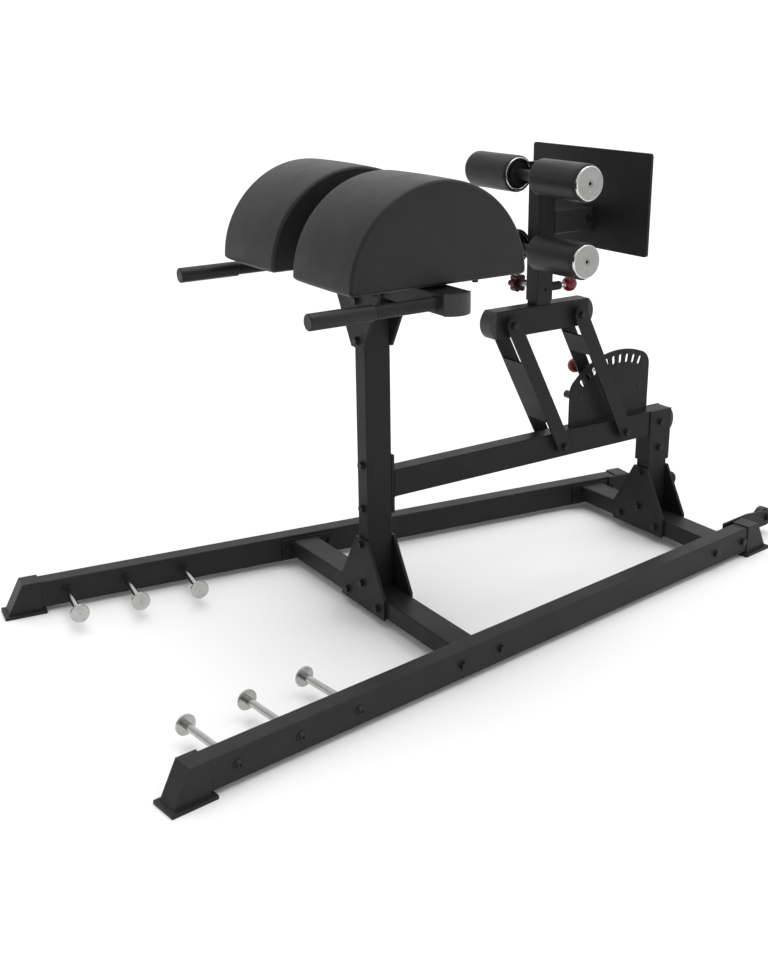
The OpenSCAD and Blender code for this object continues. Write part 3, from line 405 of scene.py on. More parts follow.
@dataclass(frozen=True)
class TurnedAlloy(Finish):
    """Roller hubs: a spun satin cap with a bright rim outside, going near black and less metallic
    towards the inner end.
    """

    name: str = "turned_alloy"
    satin: Colour = (0.335, 0.331, 0.325)
    smeared: Colour = (0.285, 0.282, 0.277)
    bright: Colour = (0.74, 0.735, 0.725)
    dark: Colour = (0.018, 0.018, 0.0185)
    rim: Pair = (0.0398, 0.0412)
    inside: Pair = (0.070, 0.062)
    groove: float = 0.0011

    def wire(self, w: Wiring) -> None:
        """Wire the patterns."""
        _, y, _ = w.axes()
        radius = w.from_axle()
        rings = w.calc("SINE", w.times(radius, 2 * math.pi / self.groove))
        rim = w.between(radius, *self.rim)
        inside = w.between(w.calc("ABSOLUTE", y), *self.inside)
        smear = w.between(w.grain(0.02, 4.0, warp=0.5), 0.35, 0.7)
        skin = w.blend(rim, w.blend(smear, self.satin, self.smeared), self.bright)
        w.feed(Base_Color=w.blend(inside, skin, self.dark))
        shine = w.plus(w.times(rim, 0.8), w.times(smear, 0.2))
        w.feed(Roughness=w.between(w.less(shine, inside), 0.0, 1.0, 0.36, 0.14))
        turned = w.times(rings, w.less(1.0, rim))
        w.feed(Normal=w.relief(turned, 0.00003, 0.5, w.softened(0.0008)))
        w.feed(Metallic=w.between(inside, 0.0, 1.0, 1.0, 0.2))


@dataclass(frozen=True)
class AxleSteel(Finish):
    """The axles: powder-coated bars whose end screws are satin zinc, with painted shade in the
    socket.
    """

    name: str = "axle_steel"
    colour: Colour = (0.0140, 0.0140, 0.0143)
    mottled: Colour = (0.0170, 0.0170, 0.0173)
    zinc: Colour = (0.335, 0.331, 0.325)
    # The socket colour is painted shade: the screw faces go near black round the axle, over the
    # socket's hollow.
    socket: Colour = (0.004, 0.004, 0.004)
    screw_from: float = 0.2285
    socket_shade_rim: Pair = (0.0046, 0.0052)

    def wire(self, w: Wiring) -> None:
        """Wire the patterns."""
        rounded = w.softened(0.0008)
        _, y, _ = w.axes()
        screw = w.between(w.calc("ABSOLUTE", y), self.screw_from, self.screw_from + 0.0004)
        mottle = w.between(w.grain(0.05, 5.0, warp=0.4), 0.35, 0.7)
        # Painted shade: near black inside the socket radius, zinc outside it, and metal only
        # outside it.
        outside_socket_shade = w.between(w.from_axle(), *self.socket_shade_rim)
        face = w.blend(outside_socket_shade, self.socket, self.zinc)
        w.feed(Base_Color=w.blend(screw, w.blend(mottle, self.colour, self.mottled), face))
        w.feed(Metallic=w.times(screw, outside_socket_shade))
        w.feed(Roughness=w.between(w.grain(0.02, 3.0), 0.3, 0.75, 0.34, 0.46))
        w.feed(Normal=w.relief(w.grain(0.0022, 2.0), 0.0002, 0.3, rounded))
        w.feed(Specular_IOR_Level=0.24)


@dataclass(frozen=True)
class Vinyl(Finish):
    """Upholstery vinyl: a fine leather grain with painted shade in its creases, a soft sheen, and
    smoother rubbed places.
    """

    name: str = "upholstery_vinyl"
    colour: Colour = (0.0112, 0.0112, 0.0115)
    faded: Colour = (0.0127, 0.0127, 0.0130)
    # The pore colour is painted shade, laid in the creases of the grain.
    pore: Colour = (0.008, 0.008, 0.008)
    roughness: float = 0.45
    grain: float = 0.0016

    def wire(self, w: Wiring) -> None:
        """Wire the patterns."""
        fade = w.between(w.grain(0.09, 4.0, warp=0.5), 0.35, 0.7)
        pores = w.cells(self.grain, walls=True)
        creases = w.between(pores, 0.0, 0.16)
        skin = w.blend(fade, self.colour, self.faded)
        # Painted shade: the colour darkens towards the pore colour in the grain's creases.
        w.feed(Base_Color=w.blend(w.times(w.less(1.0, creases), 0.35), skin, self.pore))
        shine = w.plus(w.times(fade, 0.6), w.times(creases, 0.4))
        w.feed(Roughness=w.between(shine, 0.0, 1.0, self.roughness + 0.1, self.roughness - 0.04))
        fine = w.plus(creases, w.times(w.grain(0.0007, 2.0), 0.4))
        folds = w.relief(w.grain(0.06, 1.0), 0.0006, 0.12)
        w.feed(Normal=w.relief(fine, 0.00012, 0.45, folds))
        w.feed(Specular_IOR_Level=0.27, Sheen_Weight=0.05, Sheen_Roughness=0.45)


@dataclass(frozen=True)
class SkinnedFoam(Finish):
    """Closed foam with a smooth moulded skin: pin pores and long faint flow marks."""

    name: str = "skinned_foam"
    colour: Colour = (0.0125, 0.0125, 0.0128)
    rubbed: Colour = (0.0165, 0.0165, 0.0168)
    roughness: float = 0.41
    pore: float = 0.0022

    def wire(self, w: Wiring) -> None:
        """Wire the patterns."""
        rub = w.between(w.grain(0.035, 4.0, where=w.stretched((1.0, 0.35, 1.0))), 0.4, 0.72)
        pits = w.between(w.cells(self.pore), 0.06, 0.24)
        w.feed(Base_Color=w.blend(rub, self.colour, self.rubbed))
        w.feed(Roughness=w.between(rub, 0.0, 1.0, self.roughness, self.roughness + 0.13))
        waves = w.relief(w.grain(0.028, 2.0), 0.0005, 0.4)
        w.feed(Normal=w.relief(pits, 0.00007, 0.4, waves))
        w.feed(Specular_IOR_Level=0.27, Coat_Weight=0.05, Coat_Roughness=0.22)


@dataclass(frozen=True)
class Rubber(Finish):
    """Moulded rubber: dull black with a fine bloom."""

    name: str = "moulded_rubber"
    colour: Colour = (0.010, 0.010, 0.0102)
    bloom: Colour = (0.021, 0.021, 0.0215)
    roughness: float = 0.5
    grain: float = 0.0012
    gloss: float = 0.45

    def wire(self, w: Wiring) -> None:
        """Wire the patterns."""
        bloom = w.between(w.grain(0.02, 5.0, warp=0.4), 0.42, 0.76)
        w.feed(Base_Color=w.blend(bloom, self.colour, self.bloom))
        w.feed(Roughness=w.between(bloom, 0.0, 1.0, self.roughness, self.roughness + 0.16))
        w.feed(Normal=w.relief(w.grain(self.grain, 3.0), 0.00012, 0.5, w.softened(0.0012)))
        w.feed(Specular_IOR_Level=self.gloss)


@dataclass(frozen=True)
class MouldedCap(Finish):
    """Injection-moulded end caps: a spark-eroded texture on black plastic."""

    name: str = "moulded_cap"
    colour: Colour = (0.0135, 0.0135, 0.0138)
    worn: Colour = (0.024, 0.024, 0.0243)
    roughness: float = 0.46

    def wire(self, w: Wiring) -> None:
        """Wire the patterns."""
        rounded = w.softened(0.0015)
        patch = w.between(w.grain(0.025, 4.0), 0.4, 0.72)
        paler = w.calc("MAXIMUM", w.times(patch, 0.5), w.worn_edges(rounded))
        w.feed(Base_Color=w.blend(paler, self.colour, self.worn))
        w.feed(Roughness=w.between(patch, 0.0, 1.0, self.roughness, self.roughness + 0.1))
        w.feed(Normal=w.relief(w.grain(0.0006, 2.0, 0.7), 0.00008, 0.6, rounded))


@dataclass(frozen=True)
class KnobPlastic(Finish):
    """Red phenolic knobs: deep gloss with faint swirls and hair scratches, and a bare screw."""

    name: str = "knob_plastic"
    colour: Colour = (0.18, 0.004, 0.010)
    deep: Colour = (0.11, 0.002, 0.006)
    roughness: float = 0.26
    screw_until: float = -1.0
    zinc: Colour = (0.55, 0.55, 0.56)

    def wire(self, w: Wiring) -> None:
        """Wire the patterns."""
        swirl = w.between(w.grain(0.012, 4.0, warp=1.2), 0.35, 0.7)
        _, y, _ = w.axes()
        screw = w.between(y, self.screw_until + 0.0004, self.screw_until)
        w.feed(Base_Color=w.blend(screw, w.blend(swirl, self.colour, self.deep), self.zinc))
        w.feed(Metallic=screw)
        hairs = w.grain(0.0016, 5.0, 0.7, w.stretched((1.0, 3.0, 0.6)))
        matt, glossy = self.roughness + 0.14, self.roughness - 0.05
        w.feed(Roughness=w.between(hairs, 0.3, 0.75, glossy, matt))
        w.feed(Normal=w.relief(hairs, 0.00003, 0.4, w.softened(0.0015)))
        w.feed(Specular_IOR_Level=0.35, Coat_Weight=0.08, Coat_Roughness=0.12)


@dataclass(frozen=True)
class Plywood(Finish):
    """The pads' base boards: pale veneer with plies at the edge."""

    name: str = "plywood"
    pale: Colour = (0.44, 0.30, 0.17)
    dark: Colour = (0.26, 0.155, 0.075)

    def wire(self, w: Wiring) -> None:
        """Wire the patterns."""
        figure = w.between(w.grain(0.012, 5.0, 0.6, w.stretched((0.12, 1.0, 6.0)), 0.8), 0.32, 0.7)
        w.feed(Base_Color=w.blend(figure, self.pale, self.dark))
        w.feed(Roughness=w.between(figure, 0.0, 1.0, 0.62, 0.78))
        w.feed(Normal=w.relief(figure, 0.0002, 0.4))


@dataclass(frozen=True)
class StudioFloor(Finish):
    """A plain pale floor with the faintest unevenness."""

    name: str = "studio_floor"
    colour: Colour = (0.93, 0.93, 0.93)
    duller: Colour = (0.9, 0.9, 0.9)

    def wire(self, w: Wiring) -> None:
        """Wire the patterns."""
        w.feed(Base_Color=w.blend(w.grain(0.9, 2.0), self.colour, self.duller))
        w.feed(Roughness=0.9, Specular_IOR_Level=0.1)


# Finishes that several parts share, or that change a finish's plain values
POWDER = PowderCoat()
# The rails' coat is the same powder coat painted lighter: painted light standing in for the bounce
# the rails get from the floor.
RAIL_COAT_PAINTED_LIGHT = PowderCoat(
    "rail_coat", colour=(0.0215, 0.0215, 0.0218), mottled=(0.0250, 0.0250, 0.0253)
)
# The foot plate arm's coat is the powder coat painted about twice as light: painted light on a face
# that the foot plate and rollers shade.
ARM_COAT_PAINTED_LIGHT = PowderCoat(
    "arm_coat", colour=(0.027, 0.027, 0.0273), mottled=(0.031, 0.031, 0.0313)
)
PEG_CHROME = Chrome(
    "peg_chrome", (0.48, 0.475, 0.465), (0.39, 0.385, 0.375), 0.16, stretch=(1.0, 0.3, 1.0)
)
PIN_CHROME = Chrome("pin_chrome", roughness=0.14)
RIM_CHROME = Chrome("rim_chrome", (0.70, 0.695, 0.685), (0.56, 0.555, 0.545), 0.17)
COLLAR_ZINC = Chrome("collar_zinc", (0.6, 0.6, 0.61), (0.5, 0.5, 0.51), 0.3)
GRIP_RUBBER = Rubber(
    "grip_rubber", (0.0095, 0.0095, 0.0098), (0.0155, 0.0155, 0.016),
    roughness=0.40, grain=0.0009, gloss=0.30,
)
STAR_PLASTIC = KnobPlastic(
    "star_plastic", (0.075, 0.003, 0.005), (0.045, 0.002, 0.003),
    roughness=0.40, screw_until=0.0756,
)


class Paintshop:
    """Keeps one material for each finish, and puts finishes on pieces."""

    def __init__(self) -> None:
        """Start with no material made."""
        self.made: dict[str, bpy.types.Material] = {}

    def material(self, finish: Finish) -> bpy.types.Material:
        """Return the finish's material, making it the first time."""
        if finish.name not in self.made:
            self.made[finish.name] = finish.build()
        return self.made[finish.name]

    def coat(self, node: str, finish: Finish) -> None:
        """Put a finish on a CAD node.

        Args:
            node: The node's name.
            finish: Its finish.
        """
        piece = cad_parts[node]
        material = self.material(finish)
        if not piece.material_slots:
            piece.data.materials.append(material)
        for slot in piece.material_slots:
            slot.material = material
        log.info("%s: %s", node, finish.name)


# Building meshes


@dataclass
class Builder:
    """Makes the pieces that the CAD frame doesn't show itself."""

    paint: Paintshop

    def piece(
        self,
        name: str,
        shape: Shape,
        body: str,
        finish: Finish,
        slot: str,
        sharp: float = 35.0,
    ) -> bpy.types.Object:
        """Make one mesh piece that rides on a body.

        Args:
            name: The piece's name.
            shape: Its points and its faces, as places in the list of points.
            body: The CAD body it rides on.
            finish: Its finish.
            slot: The record's material slot it belongs to; not used.
            sharp: Edges that turn by more than this stay crisp.

        Returns:
            The new object.
        """
        points, faces = shape
        mesh = bpy.data.meshes.new(name)
        mesh.from_pydata(points, [], faces)
        work = bmesh.new()
        work.from_mesh(mesh)
        bmesh.ops.recalc_face_normals(work, faces=work.faces)
        for edge in work.edges:
            gentle = edge.calc_face_angle(0.0) < math.radians(sharp)
            edge.smooth = len(edge.link_faces) != 2 or gentle
        for face in work.faces:
            face.smooth = True
        work.to_mesh(mesh)
        work.free()
        mesh.materials.append(self.paint.material(finish))
        made = bpy.data.objects.new(name, mesh)
        bpy.context.scene.collection.objects.link(made)
        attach(made, body)
        log.info("%s: %d faces, rides on %s", name, len(mesh.polygons), body)
        return made

    def bead(
        self,
        name: str,
        paths: list[tuple[list[Point], bool]],
        body: str,
        finish: Finish,
        radius: float = 0.0022,
    ) -> None:
        """Make weld beads along lines where two steel pieces meet.

        Args:
            name: The piece's name.
            paths: Lines of points, each with whether it closes on itself.
            body: The CAD body the beads ride on.
            finish: Their finish.
            radius: Half the width of a bead.
        """
        points: list[Point] = []
        faces: list[Face] = []
        sides = 8
        for path, closed in paths:
            line = even_steps(path, closed, radius * 0.75)
            start = len(points)
            count = len(line)
            for i, here in enumerate(line):
                ahead = line[(i + 1) % count] if closed or i + 1 < count else line[i]
                behind = line[i - 1] if closed or i > 0 else line[i]
                along = (ahead - behind).normalized()
                side = along.orthogonal().normalized()
                up = along.cross(side)
                uneven = 0.16 * math.sin(i * 1.7) + 0.12 * noise.noise(here * 240.0)
                for s, c in arc(radius * (1.0 + uneven), 0, 360 - 360 / sides, 360 / sides):
                    points.append(tuple(here + c * side + s * up))
            for i in range(count if closed else count - 1):
                a, b = start + i * sides, start + ((i + 1) % count) * sides
                faces += ring_faces(a, b, sides, nearest_turn(points, a, b, sides))
            if not closed:
                faces += [tuple(range(a, a + sides)) for a in (start, len(points) - sides)]
        self.piece(name, (points, faces), body, finish, "frame_paint", sharp=80.0)


def turned(
    profile: Profile,
    centre: Point,
    axis: Point,
    steps: int = 96,
    shift: Callable[[float, float, float], float] | None = None,
    looped: bool = False,
) -> Shape:
    """Return the shape of a profile that is turned about an axis.

    Args:
        profile: Pairs of radius and distance along the axis, from one end to the other.
        centre: The point on the axis at distance 0.
        axis: The axis' direction.
        steps: Number of facets round the axis.
        shift: Gives how far a point moves outwards, from its angle, radius and distance.
        looped: Whether the profile closes on itself, as a ring's does.

    Returns:
        The shape.
    """
    turn = Vector(axis).normalized().to_track_quat("Z", "Y").to_matrix()
    middle = Vector(centre)
    points: list[Point] = []
    for radius, along in profile:
        for k in range(steps):
            angle = 2 * math.pi * k / steps
            r = radius + (shift(angle, radius, along) if shift else 0.0)
            spot = Vector((r * math.cos(angle), r * math.sin(angle), along))
            points.append(tuple(middle + turn @ spot))
    rows = len(profile)
    faces: list[Face] = []
    for i in range(rows if looped else rows - 1):
        faces += ring_faces(i * steps, (i + 1) % rows * steps, steps)
    if not looped:
        faces += [tuple(range(a, a + steps)) for a in (0, (rows - 1) * steps)]
    return points, faces


def ring_faces(first: int, second: int, count: int, twist: int = 0) -> list[Face]:
    """Return the faces between two rings of points.

    Args:
        first: Where the first ring starts.
        second: Where the second ring starts.
        count: Points in a ring.
        twist: How many places the second ring is turned by.

    Returns:
        One face for each step round the ring.
    """
    faces: list[Face] = []
    for k in range(count):
        near, far = (k + twist) % count, (k + 1 + twist) % count
        faces.append((first + k, first + (k + 1) % count, second + far, second + near))
    return faces


def nearest_turn(points: list[Point], first: int, second: int, sides: int) -> int:
    """Return how far a ring is turned against the ring before it.

    Args:
        points: All the vertices.
        first: Where the first ring starts.
        second: Where the second ring starts.
        sides: Points in a ring.

    Returns:
        The number of places that the second ring is turned by.
    """
    here = Vector(points[first])
    return min(range(sides), key=lambda k: (Vector(points[second + k]) - here).length)


def even_steps(path: list[Point], closed: bool, step: float) -> list[Vector]:
    """Return points at even distances along a line of straight pieces.

    Args:
        path: The line's corners.
        closed: Whether the line closes on itself.
        step: The distance between the new points.

    Returns:
        The new points.
    """
    corners = [Vector(p) for p in path]
    if closed:
        corners.append(corners[0])
    found: list[Vector] = []
    for a, b in zip(corners, corners[1:]):
        count = max(1, round((b - a).length / step))
        found += [a.lerp(b, i / count) for i in range(count)]
    if not closed:
        found.append(corners[-1])
    return found


def rounded_loop(
    half_a: float, half_b: float, corner: float, place: Callable[[float, float], Point]
) -> list[Point]:
    """Return the closed line round a rectangular tube's end.

    Args:
        half_a: Half the tube's size along its first axis.
        half_b: Half its size along its second axis.
        corner: Radius of its corners.
        place: Turns the two flat measures into a point.

    Returns:
        The line's points.
    """
    a, b = half_a - corner, half_b - corner
    line: list[Point] = []
    for middle_a, middle_b, start in ((a, b, 0), (-a, b, 90), (-a, -b, 180), (a, -b, 270)):
        for sine, cosine in arc(corner, start, start + 90, 22.5):
            line.append(place(middle_a + cosine, middle_b + sine))
    return line


def arc(radius: float, start: float, stop: float, step: float) -> list[Pair]:
    """Return points on part of a circle.

    Args:
        radius: The circle's radius.
        start: The first angle.
        stop: The last angle.
        step: The angle between points.

    Returns:
        For each point the radius times the sine, and times the cosine, of its angle.
    """
    count = round((stop - start) / step)
    angles = [math.radians(start + step * i) for i in range(count + 1)]
    return [(radius * math.sin(a), radius * math.cos(a)) for a in angles]


# Sub-assemblies


@dataclass
class Assembly:
    """A group of CAD parts that are finished together.

    COATS pairs each finish with the parts that get it.
    """

    paint: Paintshop

    COATS: ClassVar[tuple[tuple[Finish, tuple[str, ...]], ...]] = ()

    def build(self) -> None:
        """Put each finish on its parts."""
        for finish, nodes in self.COATS:
            for node in nodes:
                self.paint.coat(node, finish)


@dataclass
class SteelFrame(Assembly):
    """The welded and bolted steel of the base, uprights, boom and top tube."""

    builder: Builder
    boom_front: float = -0.176670
    boom_height: float = 0.363
    index_span: Pair = (0.4382, 0.7329)
    index_half: float = 0.0032
    deep: float = 0.075
    slim: float = 0.050
    corner: float = 0.004
    handle_face: float = -0.259670
    handle_radius: float = 0.016
    beams: Pair = (-0.222170, 0.772830)
    beam_height: float = 0.0505
    plate_offset: float = 0.025 + 0.008
    splay: float = 7.6
    rail_offset: float = 0.426

    COATS = (
        (POWDER, (
            "front_crossbeam", "rear_crossbeam", "main_upright", "rear_upright",
            "base_gussets", "top_gussets", "boom", "boom_saddle", "cross_tube",
            "handle_rods", "pad_plates", "index_plate", "wheel_brackets",
        )),
        # The rails and feet take the powder coat painted lighter, as painted light.
        (RAIL_COAT_PAINTED_LIGHT, ("rail_near", "rail_far", "front_feet", "rear_feet")),
    )

    def build(self) -> None:
        """Paint the steel and lay its weld beads."""
        super().build()
        self.boom_welds()
        self.handle_welds()
        self.crossbeam_welds()

    def boom_welds(self) -> None:
        """Lay the bead between the boom and its front plate, and the two under the index plate."""
        ring = rounded_loop(
            self.slim / 2, self.deep / 2, self.corner,
            lambda y, z: (self.boom_front, y, self.boom_height + z),
        )
        top = self.boom_height + self.deep / 2
        sides = (-self.index_half, self.index_half)
        seams = [([(x, y, top) for x in self.index_span], False) for y in sides]
        self.builder.bead("boom_welds", [(ring, True), *seams], "frame", POWDER)

    def handle_welds(self) -> None:
        """Lay the ring where each handle rod meets the top tube."""
        rings = []
        for side in Side:
            middle = side.value * HANDLE_Y
            circle = arc(self.handle_radius, 0, 348, 12)
            ring = [(self.handle_face, middle + c, HANDLE_HEIGHT + s) for s, c in circle]
            rings.append((ring, True))
        self.builder.bead("handle_welds", rings, "frame", POWDER, 0.0024)

    def plate_y(self, x: float) -> float:
        """Return the distance from the middle plane to a crossbeam's end plate.

        Args:
            x: The place along the machine.

        Returns:
            The distance along Y.
        """
        tilt = math.radians(self.splay)
        along = (x - self.beams[0]) / math.cos(tilt)
        return self.rail_offset - self.plate_offset / math.cos(tilt) - along * math.sin(tilt)

    def crossbeam_welds(self) -> None:
        """Lay the beads between the crossbeams and their end plates."""
        rings = []
        for beam in self.beams:
            for side in Side:
                ring = rounded_loop(
                    self.deep / 2, self.slim / 2, self.corner,
                    lambda x, z, b=beam, s=side.value: (
                        b + x, s * self.plate_y(b + x), self.beam_height + z,
                    ),
                )
                rings.append((ring, True))
        self.builder.bead("crossbeam_welds", rings, "frame", POWDER)


class Fasteners(Assembly):
    """Bolts, nuts and washers all over the machine."""

    COATS = (
        (BlackZinc(), (
            "rail_bolts", "gusset_bolts", "boom_bolts", "pad_bolts", "peg_fasteners",
            "stop_bolts", "lower_pivot_bolts", "upper_pivot_bolts", "wheel_bolts",
            "foot_plate_bolt",
        )),
    )


class BaseTrim(Assembly):
    """Band pegs, transport wheels, rubber stops, end caps and the pads' boards."""

    COATS = (
        (PEG_CHROME, ("band_pegs",)),
        (Rubber(), ("wheel_near", "wheel_far", "rubber_stops")),
        (MouldedCap(), ("tube_end_caps", "carriage_caps")),
        (Plywood(), ("pad_boards",)),
    )


@dataclass
class TorsoPad:
    """One D-shaped upholstered pad: a foam block under taut vinyl, rounded along both rims."""

    builder: Builder
    side: Side
    length: float = 0.484
    height: float = 0.2342
    width: float = 0.272
    gap: float = 0.0888
    middle_x: float = -0.2285
    base_z: float = 0.9367
    edge: float = 0.0095
    corner: float = 0.010
    crown: float = 0.003
    heart: float = 0.42
    arch_from: float = 4.0
    arch_steps: int = 150
    ends_from: float = 0.2
    hollow: float = 0.0006
    pucker: float = 0.00045
    pucker_reach: float = 0.022
    staples: float = 0.021

    def outline(self) -> list[Pair]:
        """Return the pad seen from the side, as X and Z from the middle of its base."""
        half = self.length / 2
        step = (180 - 2 * self.arch_from) / self.arch_steps
        arch = arc(1.0, self.arch_from, 180 - self.arch_from, step)
        line = [(half * c, self.height * s) for s, c in arch]
        base = half - self.corner
        turn = arc(self.corner, 7.5, 82.5, 7.5)
        line += [(-base - c, self.corner - s) for s, c in turn]
        line += [(base * (i / 24 - 1), 0.0) for i in range(49)]
        line += [(base + c, self.corner - s) for s, c in reversed(turn)]
        return line

    def rings(self) -> list[tuple[float, float, float]]:
        """Return the pad's cross rings from one side face to the other.

        Returns:
            For each ring its inset from the outline, its scale towards the middle, and its
            place across.
        """
        rim = self.width / 2 - self.crown - self.edge
        flank = [
            (self.edge, scale, self.width / 2 - self.crown * scale * scale)
            for scale in (0.04, 0.15, 0.3, 0.45, 0.6, 0.74, 0.86, 0.94, 0.975)
        ]
        flank += [(self.edge - s, 1.0, rim + c) for s, c in arc(self.edge, 0, 84, 12)]
        top = [(self.crown * ((i / 14) ** 2 - 1) * 0.6, 1.0, -i / 14 * rim) for i in range(-14, 15)]
        return flank + top + [(d, s, -y) for d, s, y in reversed(flank)]

    def relaxed(self, x: float, y: float, z: float, out: Vector) -> Vector:
        """Return where the cover settles: slight hollows, and puckers towards the stapled base.

        Args:
            x: The point's X from the middle of the base.
            y: Its Y from the pad's middle.
            z: Its height above the base.
            out: The direction out of the pad.

        Returns:
            The settled point.
        """
        here = Vector((x, y, z))
        shifted = here * 9.0 + Vector((0.0, 3.0 * self.side.value, 0.0))
        hollow = self.hollow * noise.noise(shifted)
        near_base = math.exp(-max(z, 0.0) / self.pucker_reach)
        run_along = y if abs(x) > self.ends_from else x
        phase = run_along * 2 * math.pi / self.staples + 2.0 * noise.noise(here * 30.0)
        pucker = self.pucker * near_base * math.sin(phase)
        return here + out * (hollow + pucker - self.hollow)

    def build(self) -> None:
        """Make the pad."""
        line = self.outline()
        count = len(line)
        outward = []
        for j in range(count):
            ahead, behind = line[(j + 1) % count], line[j - 1]
            across = Vector((ahead[1] - behind[1], 0.0, behind[0] - ahead[0]))
            outward.append(across.normalized())
        heart = self.height * self.heart
        points: list[Point] = []
        middle_y = self.side.value * (self.gap + self.width) / 2
        for inset, scale, y in self.rings():
            for (px, pz), out in zip(line, outward):
                x = scale * (px - inset * out.x)
                z = max(heart + scale * (pz - inset * out.z - heart), 0.0)
                flat = out * (1 - min(1.0, inset / self.edge))
                push = flat if flat.length > 0.05 else Vector((0.0, math.copysign(1.0, y), 0.0))
                spot = Vector((x, y, z))
                if z > 0.0005:
                    spot = self.relaxed(x, y, z, push.normalized())
                points.append(tuple(spot + Vector((self.middle_x, middle_y, self.base_z))))
        rows = len(self.rings())
        faces: list[Face] = []
        for i in range(rows - 1):
            faces += ring_faces(i * count, (i + 1) * count, count)
        faces += [tuple(range(a, a + count)) for a in (0, (rows - 1) * count)]
        name = f"torso_pad_{self.side.name.lower()}"
        shape = (points, faces)
        pad = self.builder.piece(name, shape, "frame", Vinyl(), "pad_vinyl", sharp=70.0)
        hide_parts(f"pad_{self.side.name.lower()}")


@dataclass
class HandGrips:
    """The moulded sleeves on the front half of the two handle rods."""

    builder: Builder
    tip_x: float = -0.588170
    length: float = 0.162
    radius: float = 0.019
    rounding: float = 0.003

    def build(self) -> None:
        """Make both grips as one piece each."""
        r, e = self.radius, self.rounding
        profile = [(0.0004, 0.0), (r * 0.45, 0.0), (r * 0.75, 0.0)]
        profile += [(r - e + s, e - c) for s, c in arc(e, 0, 90, 15)]
        profile += [(r, 0.02), (r, 0.06), (r, 0.1), (r, self.length - 0.0015)]
        profile += [(r - 0.0008, self.length - 0.0004), (r - 0.0026, self.length)]
        for side in Side:
            tip = (self.tip_x, side.value * HANDLE_Y, HANDLE_HEIGHT)
            shape = turned(profile, tip, (1.0, 0.0, 0.0), steps=72)
            name = f"hand_grip_{side.name.lower()}"
            grip = self.builder.piece(name, shape, "frame", GRIP_RUBBER, "black_rubber")
            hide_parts("handle_grips")


class Linkage(Assembly):
    """The two links and the spring pin on the rear one."""

    COATS = (
        (POWDER, ("front_link", "rear_link")),
        (PIN_CHROME, ("link_pin",)),
        (KnobPlastic(), ("link_pin_ball",)),
    )


@dataclass
class RollerPost(Assembly):
    """The carriage, the post with its sleeve, the foot plate and the two knobs."""

    builder: Builder
    pin_height: float = 0.816723
    collar_front: float = 0.397654 - 0.0026
    collar: tuple[float, float, float] = (0.0072, 0.0100, 0.0036)
    arm_front: float = 0.340154 + 0.0003
    arm_height: float = 0.992223
    arm_wide: float = 0.050
    arm_high: float = 0.061
    corner: float = 0.004

    COATS = (
        (POWDER, ("carriage_tube", "inner_post", "roller_sleeve", "foot_plate")),
        # The arm takes the powder coat painted lighter, as painted light against the shade of the
        # foot plate and rollers.
        (ARM_COAT_PAINTED_LIGHT, ("foot_plate_arm",)),
        (AxleSteel(), ("roller_axles",)),
        (PIN_CHROME, ("height_pin",)),
        (KnobPlastic(), ("height_pin_ball",)),
        (STAR_PLASTIC, ("star_knob",)),
    )

    def build(self) -> None:
        """Finish the carriage and everything on the post."""
        super().build()
        front = (self.collar_front, 0.0, self.pin_height)
        shape = turned(self.collar_profile(), front, (1.0, 0.0, 0.0), steps=48)
        self.builder.piece("height_pin_collar", shape, "height_pin", COLLAR_ZINC, "bright_chrome")
        self.arm_weld()

    def collar_profile(self) -> Profile:
        """Return the pin collar's profile: chamfered ends and a groove round its middle."""
        inner, outer, length = self.collar
        cut, groove, middle = 0.0008, 0.0004, length / 2
        return [
            (inner, 0.0), (outer - cut, 0.0), (outer, cut), (outer, middle - groove),
            (outer - groove, middle), (outer, middle + groove), (outer, length - cut),
            (outer - cut, length), (inner, length),
        ]

    def arm_weld(self) -> None:
        """Lay the bead between the sleeve and the foot plate's arm."""
        ring = rounded_loop(
            self.arm_wide / 2 - self.corner, self.arm_high / 2, self.corner,
            lambda y, z: (self.arm_front, y * 0.98, self.arm_height + z),
        )
        self.builder.bead("arm_weld", [(ring, True)], "roller_post", POWDER)


